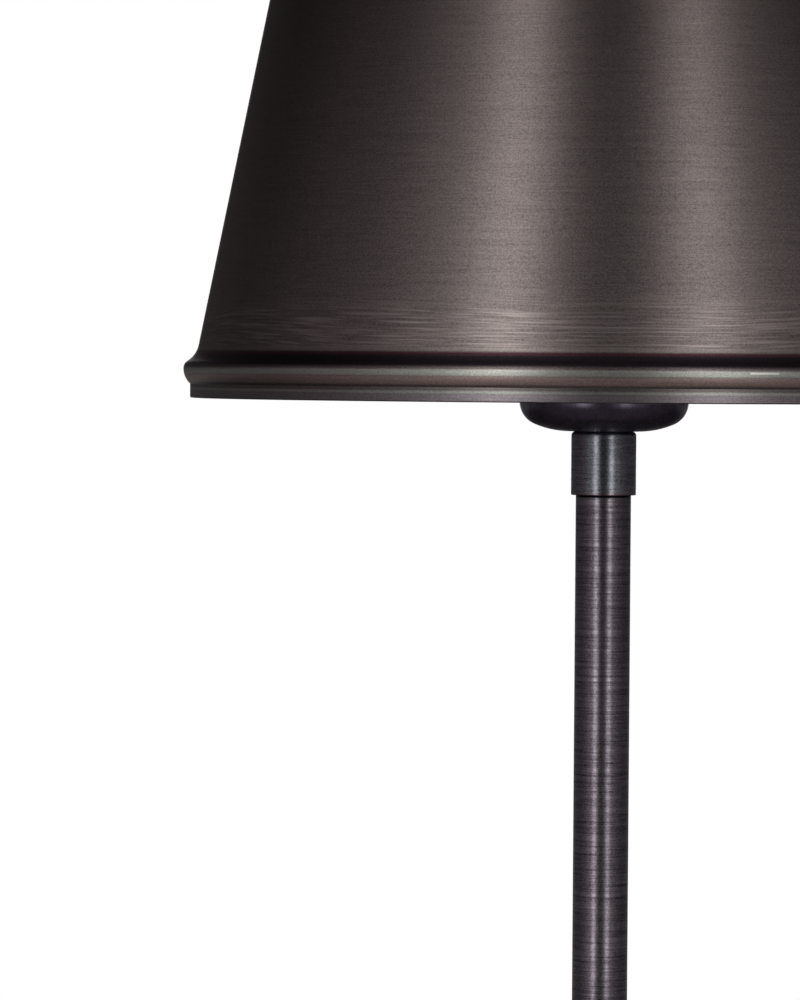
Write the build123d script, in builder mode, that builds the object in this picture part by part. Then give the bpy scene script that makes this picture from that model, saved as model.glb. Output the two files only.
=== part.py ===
"""Buffet lamp: a beaded, spun metal shade on a slim tube stem with a weighted round base.

Sizes are in millimetres. +Z is up, and the origin is the centre of the pad that rests on the table.
The lamp is a stack on one threaded pipe: weight, base cover, foot, stem tube, collar, cup, spacer,
harp saddle and socket cap. The shade hangs from the top of the harp under its finial.
"""

import os
from math import atan2, cos, degrees, hypot, radians, sin, sqrt

from build123d import *

os.makedirs("parts", exist_ok=True)

cut_overrun = 1.0  # cuts start or end this far outside the surfaces that they open

# Pipe and nuts
pipe_radius = 4.95
pipe_bore_radius = 3.3
pipe_clearance = 0.15  # radial room of a plain hole that slips over the pipe
thread_clearance = 0.05  # radial room of a threaded hole on its thread
nut_across_flats = 14.3
nut_thickness = 4.0
nut_chamfer = 0.9
washer_radius = 9.5
washer_thickness = 1.2
pipe_end = 2.4  # the pipe stands out of its bottom nut by this much
pipe_chamfer = 0.6

# Base
pad_radius = 77.0
pad_thickness = 2.0
pad_chamfer = 0.4
cover_lift = 1.0  # the cover's edge stands this far off the table
cover_radius = 80.0
cover_wall = 1.2
cover_band = 14.0
cover_bead_reach = 2.0
cover_bead_lower = 5.0
cover_bead_upper = 2.6
cover_cove = 3.0
dome_edge_radius = 76.5  # where the line of the dome, run outwards, meets the top of the bead
dome_slope = 17.0  # degrees above level at the dome's outer edge
dome_rise = 11.0
riser_radius = 22.0
riser_height = 3.0
riser_fillet = 1.0
weight_radius = 77.0
weight_edge = 10.0
weight_step_radius = 62.0
weight_step = 8.0
weight_boss_radius = 16.0
weight_draft_fillet = 3.0
nut_well_radius = 13.0
nut_well_depth = 16.0

# Cord inlet in the back of the base
inlet_height = 8.0
inlet_bore_radius = 3.0
inlet_barrel_radius = 4.7
inlet_hole_clearance = 0.1
inlet_flange_radius = 6.2
inlet_flange = 1.6
inlet_snap_radius = 5.3
inlet_snap = 3.0  # the barrel runs on this far inside the cover
inlet_snap_gap = 0.3
inlet_snap_bead = 1.6
inlet_chamfer = 0.8
cord_channel_width = 13.0
cord_channel_height = 11.0

# Stem, its foot and its collar
stem_radius = 7.95
stem_wall = 1.2
stem_length = 502.0
stem_fit = 0.05
foot_radius = 17.0
foot_height = 13.0
foot_floor = 2.0
foot_band = 3.0
foot_neck_wall = 2.4
foot_edge = 0.8
foot_round = 0.5
collar_radius = 9.35
collar_height = 18.3
collar_cap = 2.0
collar_shoulder = 1.2

# Cup
cup_radius = 24.3
cup_height = 15.0
cup_wall = 1.0
cup_flat_radius = 10.0
cup_curve_height = 8.5
cup_shoulder_radius = 7.0
cup_lip_round = 0.3
spacer_radius = 6.5
spacer_top = 16.0  # underside of the saddle above the underside of the cup

# Socket
saddle_thickness = 1.8
hub_radius = 6.75
hub_height = 7.0
socket_cap_radius = 17.0
socket_cap_height = 19.0
cap_rim_band = 3.0
socket_sheet = 0.7
socket_height = 54.0
shell_lap = 4.0  # the shell reaches this far down into the cap
shell_clearance = 0.1
liner_wall = 0.8
liner_drop = 0.8  # the liner stops this far below the shell's lip
shell_lip = 1.4
switch_body_radius = 14.0
switch_body_foot = 13.0  # above the hub's underside
switch_body_height = 16.0
switch_body_chamfer = 1.0
screw_shell_radius = 13.4  # inside
screw_shell_wall = 0.5
screw_shell_height = 23.0
screw_shell_hole_radius = 8.5
contact_width = 5.0
contact_thickness = 0.5
contact_height = 2.4
contact_reach = 6.0
contact_heel = 2.5
contact_rise = 1.5
contact_bend = 0.5
terminal_radius = 2.6
terminal_head = 1.6
terminal_shank_radius = 1.5
terminal_depth = 4.0
terminal_height = 5.0  # above the foot of the switch body
terminal_flat = 11.5  # from the axis
terminal_flat_width = 9.0
set_screw_radius = 1.5
set_screw_head_radius = 2.4
set_screw_head = 1.6
set_screw_height = 3.4
set_screw_standoff = 0.4  # between the hub and the screw's head
screw_slot = 0.7
screw_slot_depth = 0.7

# Switch shaft and knob
shaft_radius = 2.0
shaft_clearance = 0.08
shaft_height = 22.0  # above the hub's underside
shaft_start = 7.0
shaft_end = 30.0
slot_clearance = 0.5
knob_radius = 5.6
knob_start = 20.5
knob_length = 15.0
knob_flutes = 12
knob_flute_radius = 0.8
knob_collar_radius = 4.0
knob_collar = 2.5

# Bulb
bulb_radius = 30.0
bulb_length = 80.0  # from the top of its metal cap to its crown
bulb_neck_radius = 13.5
bulb_throat_radius = 40.0
bulb_wall = 1.0
bulb_cap_radius = 13.1
bulb_cap_length = 21.0
bulb_cap_wall = 1.0
bulb_heel_length = 3.0
bulb_heel_radius = 8.0
bulb_tip_radius = 4.5
bulb_tip_length = 1.6
bulb_tip_round = 0.8
bulb_tip_gap = 0.3

# Harp
saddle_width = 12.0
saddle_eye_radius = 9.5
saddle_bend = 2.5
saddle_rise = 18.0
shoulder_rise = 6.0  # the harp's ends stand this far above the saddle
tip_width = 3.6
harp_spread = 27.0  # from the axis to each leg's centre line
harp_height = 165.1
harp_wire_radius = 1.6
harp_flare_radius = 50.0
harp_flare_angle = 22.0
harp_arch_radius = 50.0
harp_side = 52.0  # straight run between the flare and the arch
harp_eye_radius = 6.5
harp_arm_gap = 0.3
harp_end_wall = 1.0  # each cheek that straddles the saddle's tip
harp_end_length = 12.0
end_gap = 0.2
sleeve_wall = 0.6
sleeve_room = 0.3
sleeve_corner = 1.2
sleeve_length = 13.0
stud_shank_radius = 2.5
stud_running_gap = 0.08
stud_head_radius = 4.4
stud_head = 1.2
stud_head_chamfer = 0.6
stud_play = 0.3
seat_radius = 8.0
seat_thickness = 1.6
seat_gap = 0.1
stud_thread_radius = 3.1
stud_thread = 12.0
stud_tip = 0.6

# Shade
shade_height = 190.5
shade_foot_radius = 119.6  # the straight side, run down to the level of the edge
shade_top_radius = 81.5  # the straight side, run up to the level of the top
shade_wall = 0.8
rim_inset = 0.65  # the band's face inside the foot of the straight side
rim_band = 4.0
rim_bead_reach = 1.95
rim_bead_lower = 6.0
rim_bead_upper = 2.6
rim_cove = 7.0
hem_thickness = 1.7
top_band = 2.4
top_band_proud = 1.1  # the band's face outside the top of the straight side
top_bead_reach = 1.3
top_bead_lower = 3.6
top_bead_upper = 1.8
top_cove = 3.0
spider_recess = 8.5  # the hub's underside hangs this far below the shade's top edge
spider_ring_radius = 1.5
spider_ring_drop = 12.0
spider_arm_radius = 1.5
spider_arms = 3
spider_flat = 42.0  # the arms run level as far as this radius
spider_bend = 14.0
spider_hub_radius = 12.5
spider_hub_hole_radius = 5.2
spider_hub = 1.6
spider_lap = 2.0  # each arm runs this far onto the hub
spider_first = 90.0  # degrees, where the first arm points
weld_gap = 0.05

# Finial
finial_base_radius = 8.5
finial_base = 2.4
finial_neck_radius = 4.2
finial_neck = 5.0
finial_edge = 1.2
finial_flare = 9.0
finial_ball_radius = 8.0
finial_button_radius = 2.6
finial_button = 1.8
finial_bore_clearance = 0.2
finial_bore_depth = 11.5

# Levels, each from what stands below it
pad_top = pad_thickness
cover_bead_height = cover_lift + cover_band + sqrt(
    cover_bead_lower**2 - (cover_bead_lower - cover_bead_reach) ** 2
)
dome_start = cover_bead_height + cover_bead_upper
dome_top = dome_start + dome_rise
cover_top = dome_top + riser_height
foot_level = cover_top
stem_level = foot_level + foot_floor
collar_top = stem_level + stem_length + collar_cap
cup_level = collar_top
saddle_level = cup_level + spacer_top
socket_level = saddle_level + saddle_thickness
pipe_top = socket_level + hub_height
hub_top = socket_level + hub_height
cap_rim_level = socket_level + socket_cap_height
shell_level = cap_rim_level - shell_lap
socket_top = socket_level + socket_height
shaft_level = socket_level + shaft_height
cup_floor = cup_level + cup_wall
spacer_level = cup_floor + washer_thickness + nut_thickness
well_roof = pad_top + nut_well_depth
base_nut_level = well_roof - washer_thickness - nut_thickness
pipe_bottom = base_nut_level - pipe_end
switch_body_level = socket_level + switch_body_foot
terminal_level = switch_body_level + terminal_height
screw_shell_level = switch_body_level + switch_body_height
contact_top = screw_shell_level + contact_height
bulb_tip_level = contact_top + bulb_tip_gap
bulb_heel_level = bulb_tip_level + bulb_tip_length
bulb_cap_level = bulb_heel_level + bulb_heel_length
bulb_level = bulb_cap_level + bulb_cap_length
shoulder_level = socket_level + shoulder_rise
tip_level = socket_level + saddle_rise
harp_foot = shoulder_level + end_gap
harp_top = harp_foot + harp_height
seat_level = harp_top + seat_gap
hub_level = seat_level + seat_thickness + seat_gap
finial_level = hub_level + spider_hub + seat_gap
shade_top = hub_level + spider_recess
rim_level = shade_top - shade_height

# Radii and reaches that follow from the parts they fit
shell_radius = socket_cap_radius - socket_sheet - shell_clearance
liner_radius = shell_radius - socket_sheet - shell_clearance
set_screw_start = pipe_radius + thread_clearance
set_screw_seat = hub_radius + set_screw_standoff
arm_outside = harp_spread - harp_wire_radius - harp_arm_gap
arm_inside = arm_outside - saddle_thickness
rim_radius = shade_foot_radius - rim_inset
top_band_radius = shade_top_radius + top_band_proud
shade_taper = (shade_foot_radius - shade_top_radius) / shade_height


def shade_radius(height):
    """Outside radius of the shade's straight side at a height above its edge."""
    return shade_foot_radius - shade_taper * height


def cove_points(bead, bead_radius, foot, direction, outward, cove_radius):
    """Where a hollow of cove_radius leaves a round bead and where it meets a straight wall.

    foot and direction give the wall's line, and outward is its normal on the bead's side.
    """
    along = (bead[0] - foot[0]) * direction[0] + (bead[1] - foot[1]) * direction[1]
    proud = (bead[0] - foot[0]) * outward[0] + (bead[1] - foot[1]) * outward[1]
    reach = bead_radius + cove_radius
    step = along + sqrt(reach**2 - (cove_radius - proud) ** 2)
    on_wall = (foot[0] + step * direction[0], foot[1] + step * direction[1])
    centre = (on_wall[0] + cove_radius * outward[0], on_wall[1] + cove_radius * outward[1])
    share = bead_radius / reach
    on_bead = (
        bead[0] + share * (centre[0] - bead[0]),
        bead[1] + share * (centre[1] - bead[1]),
    )
    return on_bead, on_wall


def draw_moulding(edge, up, band, reach, lower, upper, foot, direction, outward, cove):
    """Draws band, bead and cove from the free edge (radius, height) to the wall, and returns the wall point.

    up is 1 where the moulding climbs from its edge, and -1 where it hangs down from it.
    """
    band_end = (edge[0], edge[1] + up * band)
    bead_height = edge[1] + up * (band + sqrt(lower**2 - (lower - reach) ** 2))
    crest = (edge[0] + reach, bead_height)
    bead = (crest[0] - upper, crest[1])
    on_bead, on_wall = cove_points(bead, upper, foot, direction, outward, cove)
    Line(edge, band_end)
    RadiusArc(band_end, crest, -up * lower)
    RadiusArc(crest, on_bead, -up * upper)
    RadiusArc(on_bead, on_wall, up * cove)
    return on_wall


# Base pad
with BuildPart() as base_pad:
    with BuildSketch(Plane.XY):
        Circle(pad_radius)
    extrude(amount=pad_thickness)
    chamfer(base_pad.edges().group_by(Axis.Z)[-1], length=pad_chamfer)
base_pad.part.label = "base_pad"
export_step(base_pad.part, "parts/base_pad.step")

# Base weight, a casting with a well for the nut and a channel for the cord
with BuildPart() as base_weight:
    with BuildSketch(Plane.XZ):
        with BuildLine():
            Polyline(
                (0, pad_top),
                (weight_radius, pad_top),
                (weight_radius, pad_top + weight_edge),
                (weight_step_radius, pad_top + weight_edge),
                (weight_step_radius, pad_top + weight_edge + weight_step),
                (weight_boss_radius, pad_top + weight_edge + weight_step),
                (weight_boss_radius, cover_top - cover_wall),
                (0, cover_top - cover_wall),
                close=True,
            )
        make_face()
    revolve(axis=Axis.Z)
    lowest_rim = pad_top + weight_edge
    highest_rim = lowest_rim + weight_step
    rims = base_weight.edges().filter_by(GeomType.CIRCLE).filter_by(
        lambda e: lowest_rim - weight_edge / 2 < e.center().Z < highest_rim + weight_step / 2
    )
    fillet(rims, radius=weight_draft_fillet)
    with Locations(Plane.XY.offset(pad_top).location):
        with Locations(Rot(180, 0, 0)):
            CounterBoreHole(pipe_radius + pipe_clearance, nut_well_radius, nut_well_depth)
    with BuildSketch(Plane.XY.offset(pad_top)):
        Rectangle(cord_channel_width, weight_radius + cut_overrun, align=(Align.CENTER, Align.MIN))
    extrude(amount=cord_channel_height, mode=Mode.SUBTRACT)
base_weight.part.label = "base_weight"
export_step(base_weight.part, "parts/base_weight.step")

# Base cover, spun from sheet: band, bead, cove, low dome and a riser for the foot
dome_direction = (-cos(radians(dome_slope)), sin(radians(dome_slope)))
dome_outward = (sin(radians(dome_slope)), cos(radians(dome_slope)))
with BuildPart() as base_cover:
    with BuildSketch(Plane.XZ):
        with BuildLine():
            with BuildLine(mode=Mode.PRIVATE) as cover_line:
                dome_foot = draw_moulding(
                    (cover_radius, cover_lift),
                    1,
                    cover_band,
                    cover_bead_reach,
                    cover_bead_lower,
                    cover_bead_upper,
                    (dome_edge_radius, dome_start),
                    dome_direction,
                    dome_outward,
                    cover_cove,
                )
                TangentArc(dome_foot, (riser_radius, dome_top), tangent=dome_direction)
                Line((riser_radius, dome_top), (riser_radius, cover_top))
                Line((riser_radius, cover_top), (pipe_radius + pipe_clearance, cover_top))
            add(cover_line.line)
            offset(cover_line.line, amount=cover_wall, side=Side.LEFT)
        make_face()
    revolve(axis=Axis.Z)
    riser_rim = base_cover.edges().filter_by(GeomType.CIRCLE).group_by(Axis.Z)[-1]
    fillet(riser_rim.sort_by(SortBy.RADIUS)[-1], radius=riser_fillet)
    with BuildSketch(Plane.XZ.offset(-cover_radius - cut_overrun)):
        with Locations((0, inlet_height)):
            Circle(inlet_barrel_radius + inlet_hole_clearance)
    extrude(amount=cover_wall + 2 * cut_overrun, mode=Mode.SUBTRACT)
base_cover.part.label = "base_cover"
export_step(base_cover.part, "parts/base_cover.step")

# Cord inlet, a snap bushing: its flange stands outside the cover and its bead grips inside
inlet_axis = Axis((0, 0, inlet_height), (0, 1, 0))
with BuildPart() as inlet_bushing:
    with BuildSketch(Plane((0, cover_radius, inlet_height), x_dir=(0, 0, 1), z_dir=(1, 0, 0))):
        with BuildLine():
            Polyline(
                (inlet_bore_radius, cover_wall + inlet_snap),
                (inlet_barrel_radius, cover_wall + inlet_snap),
                (inlet_snap_radius, cover_wall + inlet_snap_gap + inlet_snap_bead / 2),
                (inlet_barrel_radius, cover_wall + inlet_snap_gap),
                (inlet_barrel_radius, 0),
                (inlet_flange_radius, 0),
                (inlet_flange_radius, inlet_chamfer - inlet_flange),
                (inlet_flange_radius - inlet_chamfer, -inlet_flange),
                (inlet_bore_radius, -inlet_flange),
                close=True,
            )
        make_face()
    revolve(axis=inlet_axis)
inlet_bushing.part.label = "inlet_bushing"
export_step(inlet_bushing.part, "parts/inlet_bushing.step")


def draw_ring(outer):
    """Draws a ring that slips over the pipe."""
    Circle(outer)
    Circle(pipe_radius + pipe_clearance, mode=Mode.SUBTRACT)


def draw_nut():
    """Draws a hexagon nut's face with its threaded hole."""
    RegularPolygon(nut_across_flats / sqrt(3), 6)
    Circle(pipe_radius + thread_clearance, mode=Mode.SUBTRACT)


def draw_nut_turning(level):
    """Draws half the turned shape that chamfers a nut's corners, as a closed outline."""
    corner_radius = nut_across_flats / sqrt(3)
    top = level + nut_thickness
    Polyline(
        (0, level),
        (corner_radius - nut_chamfer, level),
        (corner_radius, level + nut_chamfer / 2),
        (corner_radius, top - nut_chamfer / 2),
        (corner_radius - nut_chamfer, top),
        (0, top),
        close=True,
    )


# Washer and nut in the weight's well
with BuildPart() as base_washer:
    with BuildSketch(Plane.XY.offset(well_roof - washer_thickness)):
        draw_ring(washer_radius)
    extrude(amount=washer_thickness)
base_washer.part.label = "base_washer"
export_step(base_washer.part, "parts/base_washer.step")

with BuildPart() as base_nut:
    with BuildSketch(Plane.XY.offset(base_nut_level)):
        draw_nut()
    extrude(amount=nut_thickness)
    with BuildSketch(Plane.XZ):
        with BuildLine():
            draw_nut_turning(base_nut_level)
        make_face()
    revolve(axis=Axis.Z, mode=Mode.INTERSECT)
base_nut.part.label = "base_nut"
export_step(base_nut.part, "parts/base_nut.step")

# Threaded pipe that clamps the whole stack
with BuildPart() as threaded_pipe:
    with BuildSketch(Plane.XY.offset(pipe_bottom)):
        Circle(pipe_radius)
        Circle(pipe_bore_radius, mode=Mode.SUBTRACT)
    extrude(amount=pipe_top - pipe_bottom)
    pipe_rims = threaded_pipe.edges().filter_by(GeomType.CIRCLE).group_by(SortBy.RADIUS)[-1]
    chamfer(pipe_rims, length=pipe_chamfer)
threaded_pipe.part.label = "threaded_pipe"
export_step(threaded_pipe.part, "parts/threaded_pipe.step")

# Stem foot, a turned ring that seats the stem on the cover
with BuildPart() as stem_foot:
    socket_radius = stem_radius + stem_fit
    neck_radius = socket_radius + foot_neck_wall
    cove_foot = foot_level + foot_band
    cove_top = cove_foot + foot_radius - foot_edge - neck_radius
    with BuildSketch(Plane.XZ):
        with BuildLine():
            Polyline(
                (pipe_radius + pipe_clearance, foot_level),
                (foot_radius, foot_level),
                (foot_radius, cove_foot),
                (foot_radius - foot_edge, cove_foot),
            )
            RadiusArc((foot_radius - foot_edge, cove_foot), (neck_radius, cove_top), cove_top - cove_foot)
            Polyline(
                (neck_radius, cove_top),
                (neck_radius, foot_level + foot_height),
                (socket_radius, foot_level + foot_height),
                (socket_radius, stem_level),
                (pipe_radius + pipe_clearance, stem_level),
                (pipe_radius + pipe_clearance, foot_level),
            )
        make_face()
    revolve(axis=Axis.Z)
    foot_rims = stem_foot.edges().filter_by(GeomType.CIRCLE).group_by(SortBy.RADIUS)[-1]
    fillet(foot_rims, radius=foot_round)
stem_foot.part.label = "stem_foot"
export_step(stem_foot.part, "parts/stem_foot.step")

# Stem tube
with BuildPart() as stem_tube:
    with BuildSketch(Plane.XY.offset(stem_level)):
        Circle(stem_radius)
        Circle(stem_radius - stem_wall, mode=Mode.SUBTRACT)
    extrude(amount=stem_length)
stem_tube.part.label = "stem_tube"
export_step(stem_tube.part, "parts/stem_tube.step")

# Stem collar, a turned cap with a rounded shoulder that slips over the top of the stem
with BuildPart() as stem_collar:
    with BuildSketch(Plane.XY.offset(collar_top - collar_height)):
        Circle(collar_radius)
    extrude(amount=collar_height)
    fillet(stem_collar.edges().group_by(Axis.Z)[-1], radius=collar_shoulder)
    with BuildSketch(Plane.XY.offset(collar_top - collar_height)):
        Circle(stem_radius + stem_fit)
    extrude(amount=collar_height - collar_cap, mode=Mode.SUBTRACT)
    with BuildSketch(Plane.XY.offset(collar_top)):
        Circle(pipe_radius + pipe_clearance)
    extrude(amount=-collar_cap, mode=Mode.SUBTRACT)
stem_collar.part.label = "stem_collar"
export_step(stem_collar.part, "parts/stem_collar.step")

# Socket cup, a stamped bowl whose floor curves gently up into a tighter shoulder
with BuildPart() as socket_cup:
    cup_curve_top = cup_level + cup_curve_height
    cup_inner_radius = cup_radius - cup_wall
    cup_shoulder_centre = cup_radius - cup_shoulder_radius
    cup_curve_reach = cup_shoulder_centre - cup_flat_radius
    cup_curve_radius = (cup_curve_reach**2 + cup_curve_height**2 - cup_shoulder_radius**2) / (
        2 * (cup_curve_height - cup_shoulder_radius)
    )
    cup_curve_turn = degrees(atan2(cup_curve_reach, cup_curve_radius - cup_curve_height))
    with BuildSketch(Plane.XZ):
        with BuildLine():
            Line((pipe_radius + pipe_clearance, cup_level), (cup_flat_radius, cup_level))
            CenterArc((cup_flat_radius, cup_level + cup_curve_radius), cup_curve_radius, 270, cup_curve_turn)
            CenterArc(
                (cup_shoulder_centre, cup_curve_top),
                cup_shoulder_radius,
                270 + cup_curve_turn,
                90 - cup_curve_turn,
            )
            Polyline(
                (cup_radius, cup_curve_top),
                (cup_radius, cup_level + cup_height),
                (cup_inner_radius, cup_level + cup_height),
                (cup_inner_radius, cup_curve_top),
            )
            CenterArc(
                (cup_flat_radius, cup_level + cup_curve_radius),
                cup_curve_radius - cup_wall,
                270,
                cup_curve_turn,
            )
            CenterArc(
                (cup_shoulder_centre, cup_curve_top),
                cup_shoulder_radius - cup_wall,
                270 + cup_curve_turn,
                90 - cup_curve_turn,
            )
            Polyline(
                (cup_flat_radius, cup_floor),
                (pipe_radius + pipe_clearance, cup_floor),
                (pipe_radius + pipe_clearance, cup_level),
            )
        make_face()
    revolve(axis=Axis.Z)
    fillet(socket_cup.edges().group_by(Axis.Z)[-1], radius=cup_lip_round)
socket_cup.part.label = "socket_cup"
export_step(socket_cup.part, "parts/socket_cup.step")

# Washer, nut and spacer inside the cup
with BuildPart() as cup_washer:
    with BuildSketch(Plane.XY.offset(cup_floor)):
        draw_ring(washer_radius)
    extrude(amount=washer_thickness)
cup_washer.part.label = "cup_washer"
export_step(cup_washer.part, "parts/cup_washer.step")

with BuildPart() as cup_nut:
    with BuildSketch(Plane.XY.offset(cup_floor + washer_thickness)):
        draw_nut()
    extrude(amount=nut_thickness)
    with BuildSketch(Plane.XZ):
        with BuildLine():
            draw_nut_turning(cup_floor + washer_thickness)
        make_face()
    revolve(axis=Axis.Z, mode=Mode.INTERSECT)
cup_nut.part.label = "cup_nut"
export_step(cup_nut.part, "parts/cup_nut.step")

with BuildPart() as saddle_spacer:
    with BuildSketch(Plane.XY.offset(spacer_level)):
        draw_ring(spacer_radius)
    extrude(amount=saddle_level - spacer_level)
saddle_spacer.part.label = "saddle_spacer"
export_step(saddle_spacer.part, "parts/saddle_spacer.step")

# Harp saddle, a strip whose arms bend up and narrow to the tips that the harp's ends lock on
with BuildPart() as harp_saddle:
    with BuildSketch(Plane.XZ):
        with BuildLine():
            with BuildLine(mode=Mode.PRIVATE) as saddle_line:
                FilletPolyline(
                    (-arm_outside, tip_level),
                    (-arm_outside, saddle_level),
                    (arm_outside, saddle_level),
                    (arm_outside, tip_level),
                    radius=saddle_bend + saddle_thickness,
                )
            add(saddle_line.line)
            offset(saddle_line.line, amount=saddle_thickness, side=Side.LEFT)
        make_face()
    extrude(amount=saddle_width / 2, both=True)
    with BuildSketch(Plane.YZ):
        with Locations((0, saddle_level)):
            Rectangle(saddle_width, shoulder_level - saddle_level, align=(Align.CENTER, Align.MIN))
        with Locations((0, shoulder_level)):
            Rectangle(tip_width, tip_level - shoulder_level, align=(Align.CENTER, Align.MIN))
    extrude(amount=arm_outside, both=True, mode=Mode.INTERSECT)
    with BuildSketch(Plane.XY.offset(saddle_level)):
        Circle(saddle_eye_radius)
    extrude(amount=saddle_thickness)
    with BuildSketch(Plane.XY.offset(saddle_level)):
        Circle(pipe_radius + pipe_clearance)
    extrude(amount=saddle_thickness, mode=Mode.SUBTRACT)
harp_saddle.part.label = "harp_saddle"
export_step(harp_saddle.part, "parts/harp_saddle.step")

# Socket cap, a domed cup on a threaded hub
with BuildPart() as socket_cap:
    dome_width = socket_cap_radius - hub_radius
    dome_height = cap_rim_level - cap_rim_band - hub_top
    dome_edge = cap_rim_level - cap_rim_band
    with BuildSketch(Plane.XZ):
        with BuildLine():
            Line((hub_radius, socket_level), (hub_radius, hub_top))
            EllipticalCenterArc(
                (hub_radius, dome_edge), dome_width, dome_height, start_angle=270, arc_size=90
            )
            Polyline(
                (socket_cap_radius, dome_edge),
                (socket_cap_radius, cap_rim_level),
                (socket_cap_radius - socket_sheet, cap_rim_level),
                (socket_cap_radius - socket_sheet, dome_edge),
            )
            EllipticalCenterArc(
                (hub_radius, dome_edge),
                dome_width - socket_sheet,
                dome_height - socket_sheet,
                start_angle=270,
                arc_size=90,
            )
            Polyline(
                (hub_radius, hub_top + socket_sheet),
                (pipe_radius + thread_clearance, hub_top + socket_sheet),
                (pipe_radius + thread_clearance, socket_level),
                (hub_radius, socket_level),
            )
        make_face()
    revolve(axis=Axis.Z)
    with BuildSketch(Plane.XZ):
        with Locations((0, socket_level + set_screw_height)):
            Circle(set_screw_radius + thread_clearance)
    extrude(amount=-hub_radius - cut_overrun, mode=Mode.SUBTRACT)
socket_cap.part.label = "socket_cap"
export_step(socket_cap.part, "parts/socket_cap.step")

# Set screw, at the back of the hub, that locks the cap on the pipe
with BuildPart() as set_screw:
    with BuildSketch(Plane.XZ.offset(-set_screw_start)):
        with Locations((0, socket_level + set_screw_height)):
            Circle(set_screw_radius)
    extrude(amount=set_screw_start - set_screw_seat)
    with BuildSketch(Plane.XZ.offset(-set_screw_seat)):
        with Locations((0, socket_level + set_screw_height)):
            Circle(set_screw_head_radius)
    extrude(amount=-set_screw_head)
    with BuildSketch(Plane.XZ.offset(-set_screw_seat - set_screw_head)):
        with Locations((0, socket_level + set_screw_height)):
            Rectangle(2 * set_screw_head_radius, screw_slot)
    extrude(amount=screw_slot_depth, mode=Mode.SUBTRACT)
set_screw.part.label = "set_screw"
export_step(set_screw.part, "parts/set_screw.step")

# Socket shell, notched from below where the switch shaft passes out
with BuildPart() as socket_shell:
    with BuildSketch(Plane.XZ):
        with BuildLine():
            Polyline(
                (shell_radius - socket_sheet, shell_level),
                (shell_radius, shell_level),
                (shell_radius, socket_top - shell_lip),
            )
            RadiusArc(
                (shell_radius, socket_top - shell_lip),
                (shell_radius - shell_lip, socket_top),
                -shell_lip,
            )
            Polyline(
                (shell_radius - shell_lip, socket_top),
                (shell_radius - shell_lip, socket_top - socket_sheet),
            )
            RadiusArc(
                (shell_radius - shell_lip, socket_top - socket_sheet),
                (shell_radius - socket_sheet, socket_top - shell_lip),
                shell_lip - socket_sheet,
            )
            Line(
                (shell_radius - socket_sheet, socket_top - shell_lip),
                (shell_radius - socket_sheet, shell_level),
            )
        make_face()
    revolve(axis=Axis.Z)
    with BuildSketch(Plane.XZ):
        with Locations((0, shaft_level)):
            Circle(shaft_radius + slot_clearance)
        with Locations((0, shaft_level)):
            Rectangle(
                2 * (shaft_radius + slot_clearance),
                shaft_level - shell_level,
                align=(Align.CENTER, Align.MAX),
            )
    extrude(amount=shell_radius + cut_overrun, mode=Mode.SUBTRACT)
socket_shell.part.label = "socket_shell"
export_step(socket_shell.part, "parts/socket_shell.step")

# Socket liner, a fibre sleeve with the same notch
with BuildPart() as socket_liner:
    with BuildSketch(Plane.XY.offset(shell_level)):
        Circle(liner_radius)
        Circle(liner_radius - liner_wall, mode=Mode.SUBTRACT)
    extrude(amount=socket_top - shell_lip - liner_drop - shell_level)
    with BuildSketch(Plane.XZ):
        with Locations((0, shaft_level)):
            Circle(shaft_radius + slot_clearance)
        with Locations((0, shaft_level)):
            Rectangle(
                2 * (shaft_radius + slot_clearance),
                shaft_level - shell_level,
                align=(Align.CENTER, Align.MAX),
            )
    extrude(amount=liner_radius + cut_overrun, mode=Mode.SUBTRACT)
socket_liner.part.label = "socket_liner"
export_step(socket_liner.part, "parts/socket_liner.step")

# Switch body, a moulded block that carries the lamp holder, the terminals and the shaft
with BuildPart() as switch_body:
    with BuildSketch(Plane.XY.offset(switch_body_level)):
        Circle(switch_body_radius)
    extrude(amount=switch_body_height)
    chamfer(switch_body.edges().group_by(Axis.Z)[0], length=switch_body_chamfer)
    with BuildSketch(Plane.XZ):
        with Locations((0, shaft_level)):
            Circle(shaft_radius + shaft_clearance)
    extrude(amount=switch_body_radius, mode=Mode.SUBTRACT)
    for side in (-1, 1):
        with BuildSketch(Plane.YZ.offset(side * terminal_flat)):
            with Locations((0, terminal_level)):
                Rectangle(terminal_flat_width, terminal_flat_width)
        extrude(amount=side * switch_body_radius, mode=Mode.SUBTRACT)
        with BuildSketch(Plane.YZ.offset(side * terminal_flat)):
            with Locations((0, terminal_level)):
                Circle(terminal_shank_radius + thread_clearance)
        extrude(amount=-side * (terminal_depth + thread_clearance), mode=Mode.SUBTRACT)
switch_body.part.label = "switch_body"
export_step(switch_body.part, "parts/switch_body.step")

# Lamp holder, a plain shell in place of the rolled thread
with BuildPart() as screw_shell:
    with BuildSketch(Plane.XY.offset(screw_shell_level)):
        Circle(screw_shell_radius + screw_shell_wall)
    extrude(amount=screw_shell_height)
    with BuildSketch(Plane.XY.offset(screw_shell_level + screw_shell_wall)):
        Circle(screw_shell_radius)
    extrude(amount=screw_shell_height, mode=Mode.SUBTRACT)
    with BuildSketch(Plane.XY.offset(screw_shell_level)):
        Circle(screw_shell_hole_radius)
    extrude(amount=screw_shell_wall, mode=Mode.SUBTRACT)
screw_shell.part.label = "screw_shell"
export_step(screw_shell.part, "parts/screw_shell.step")

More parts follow.
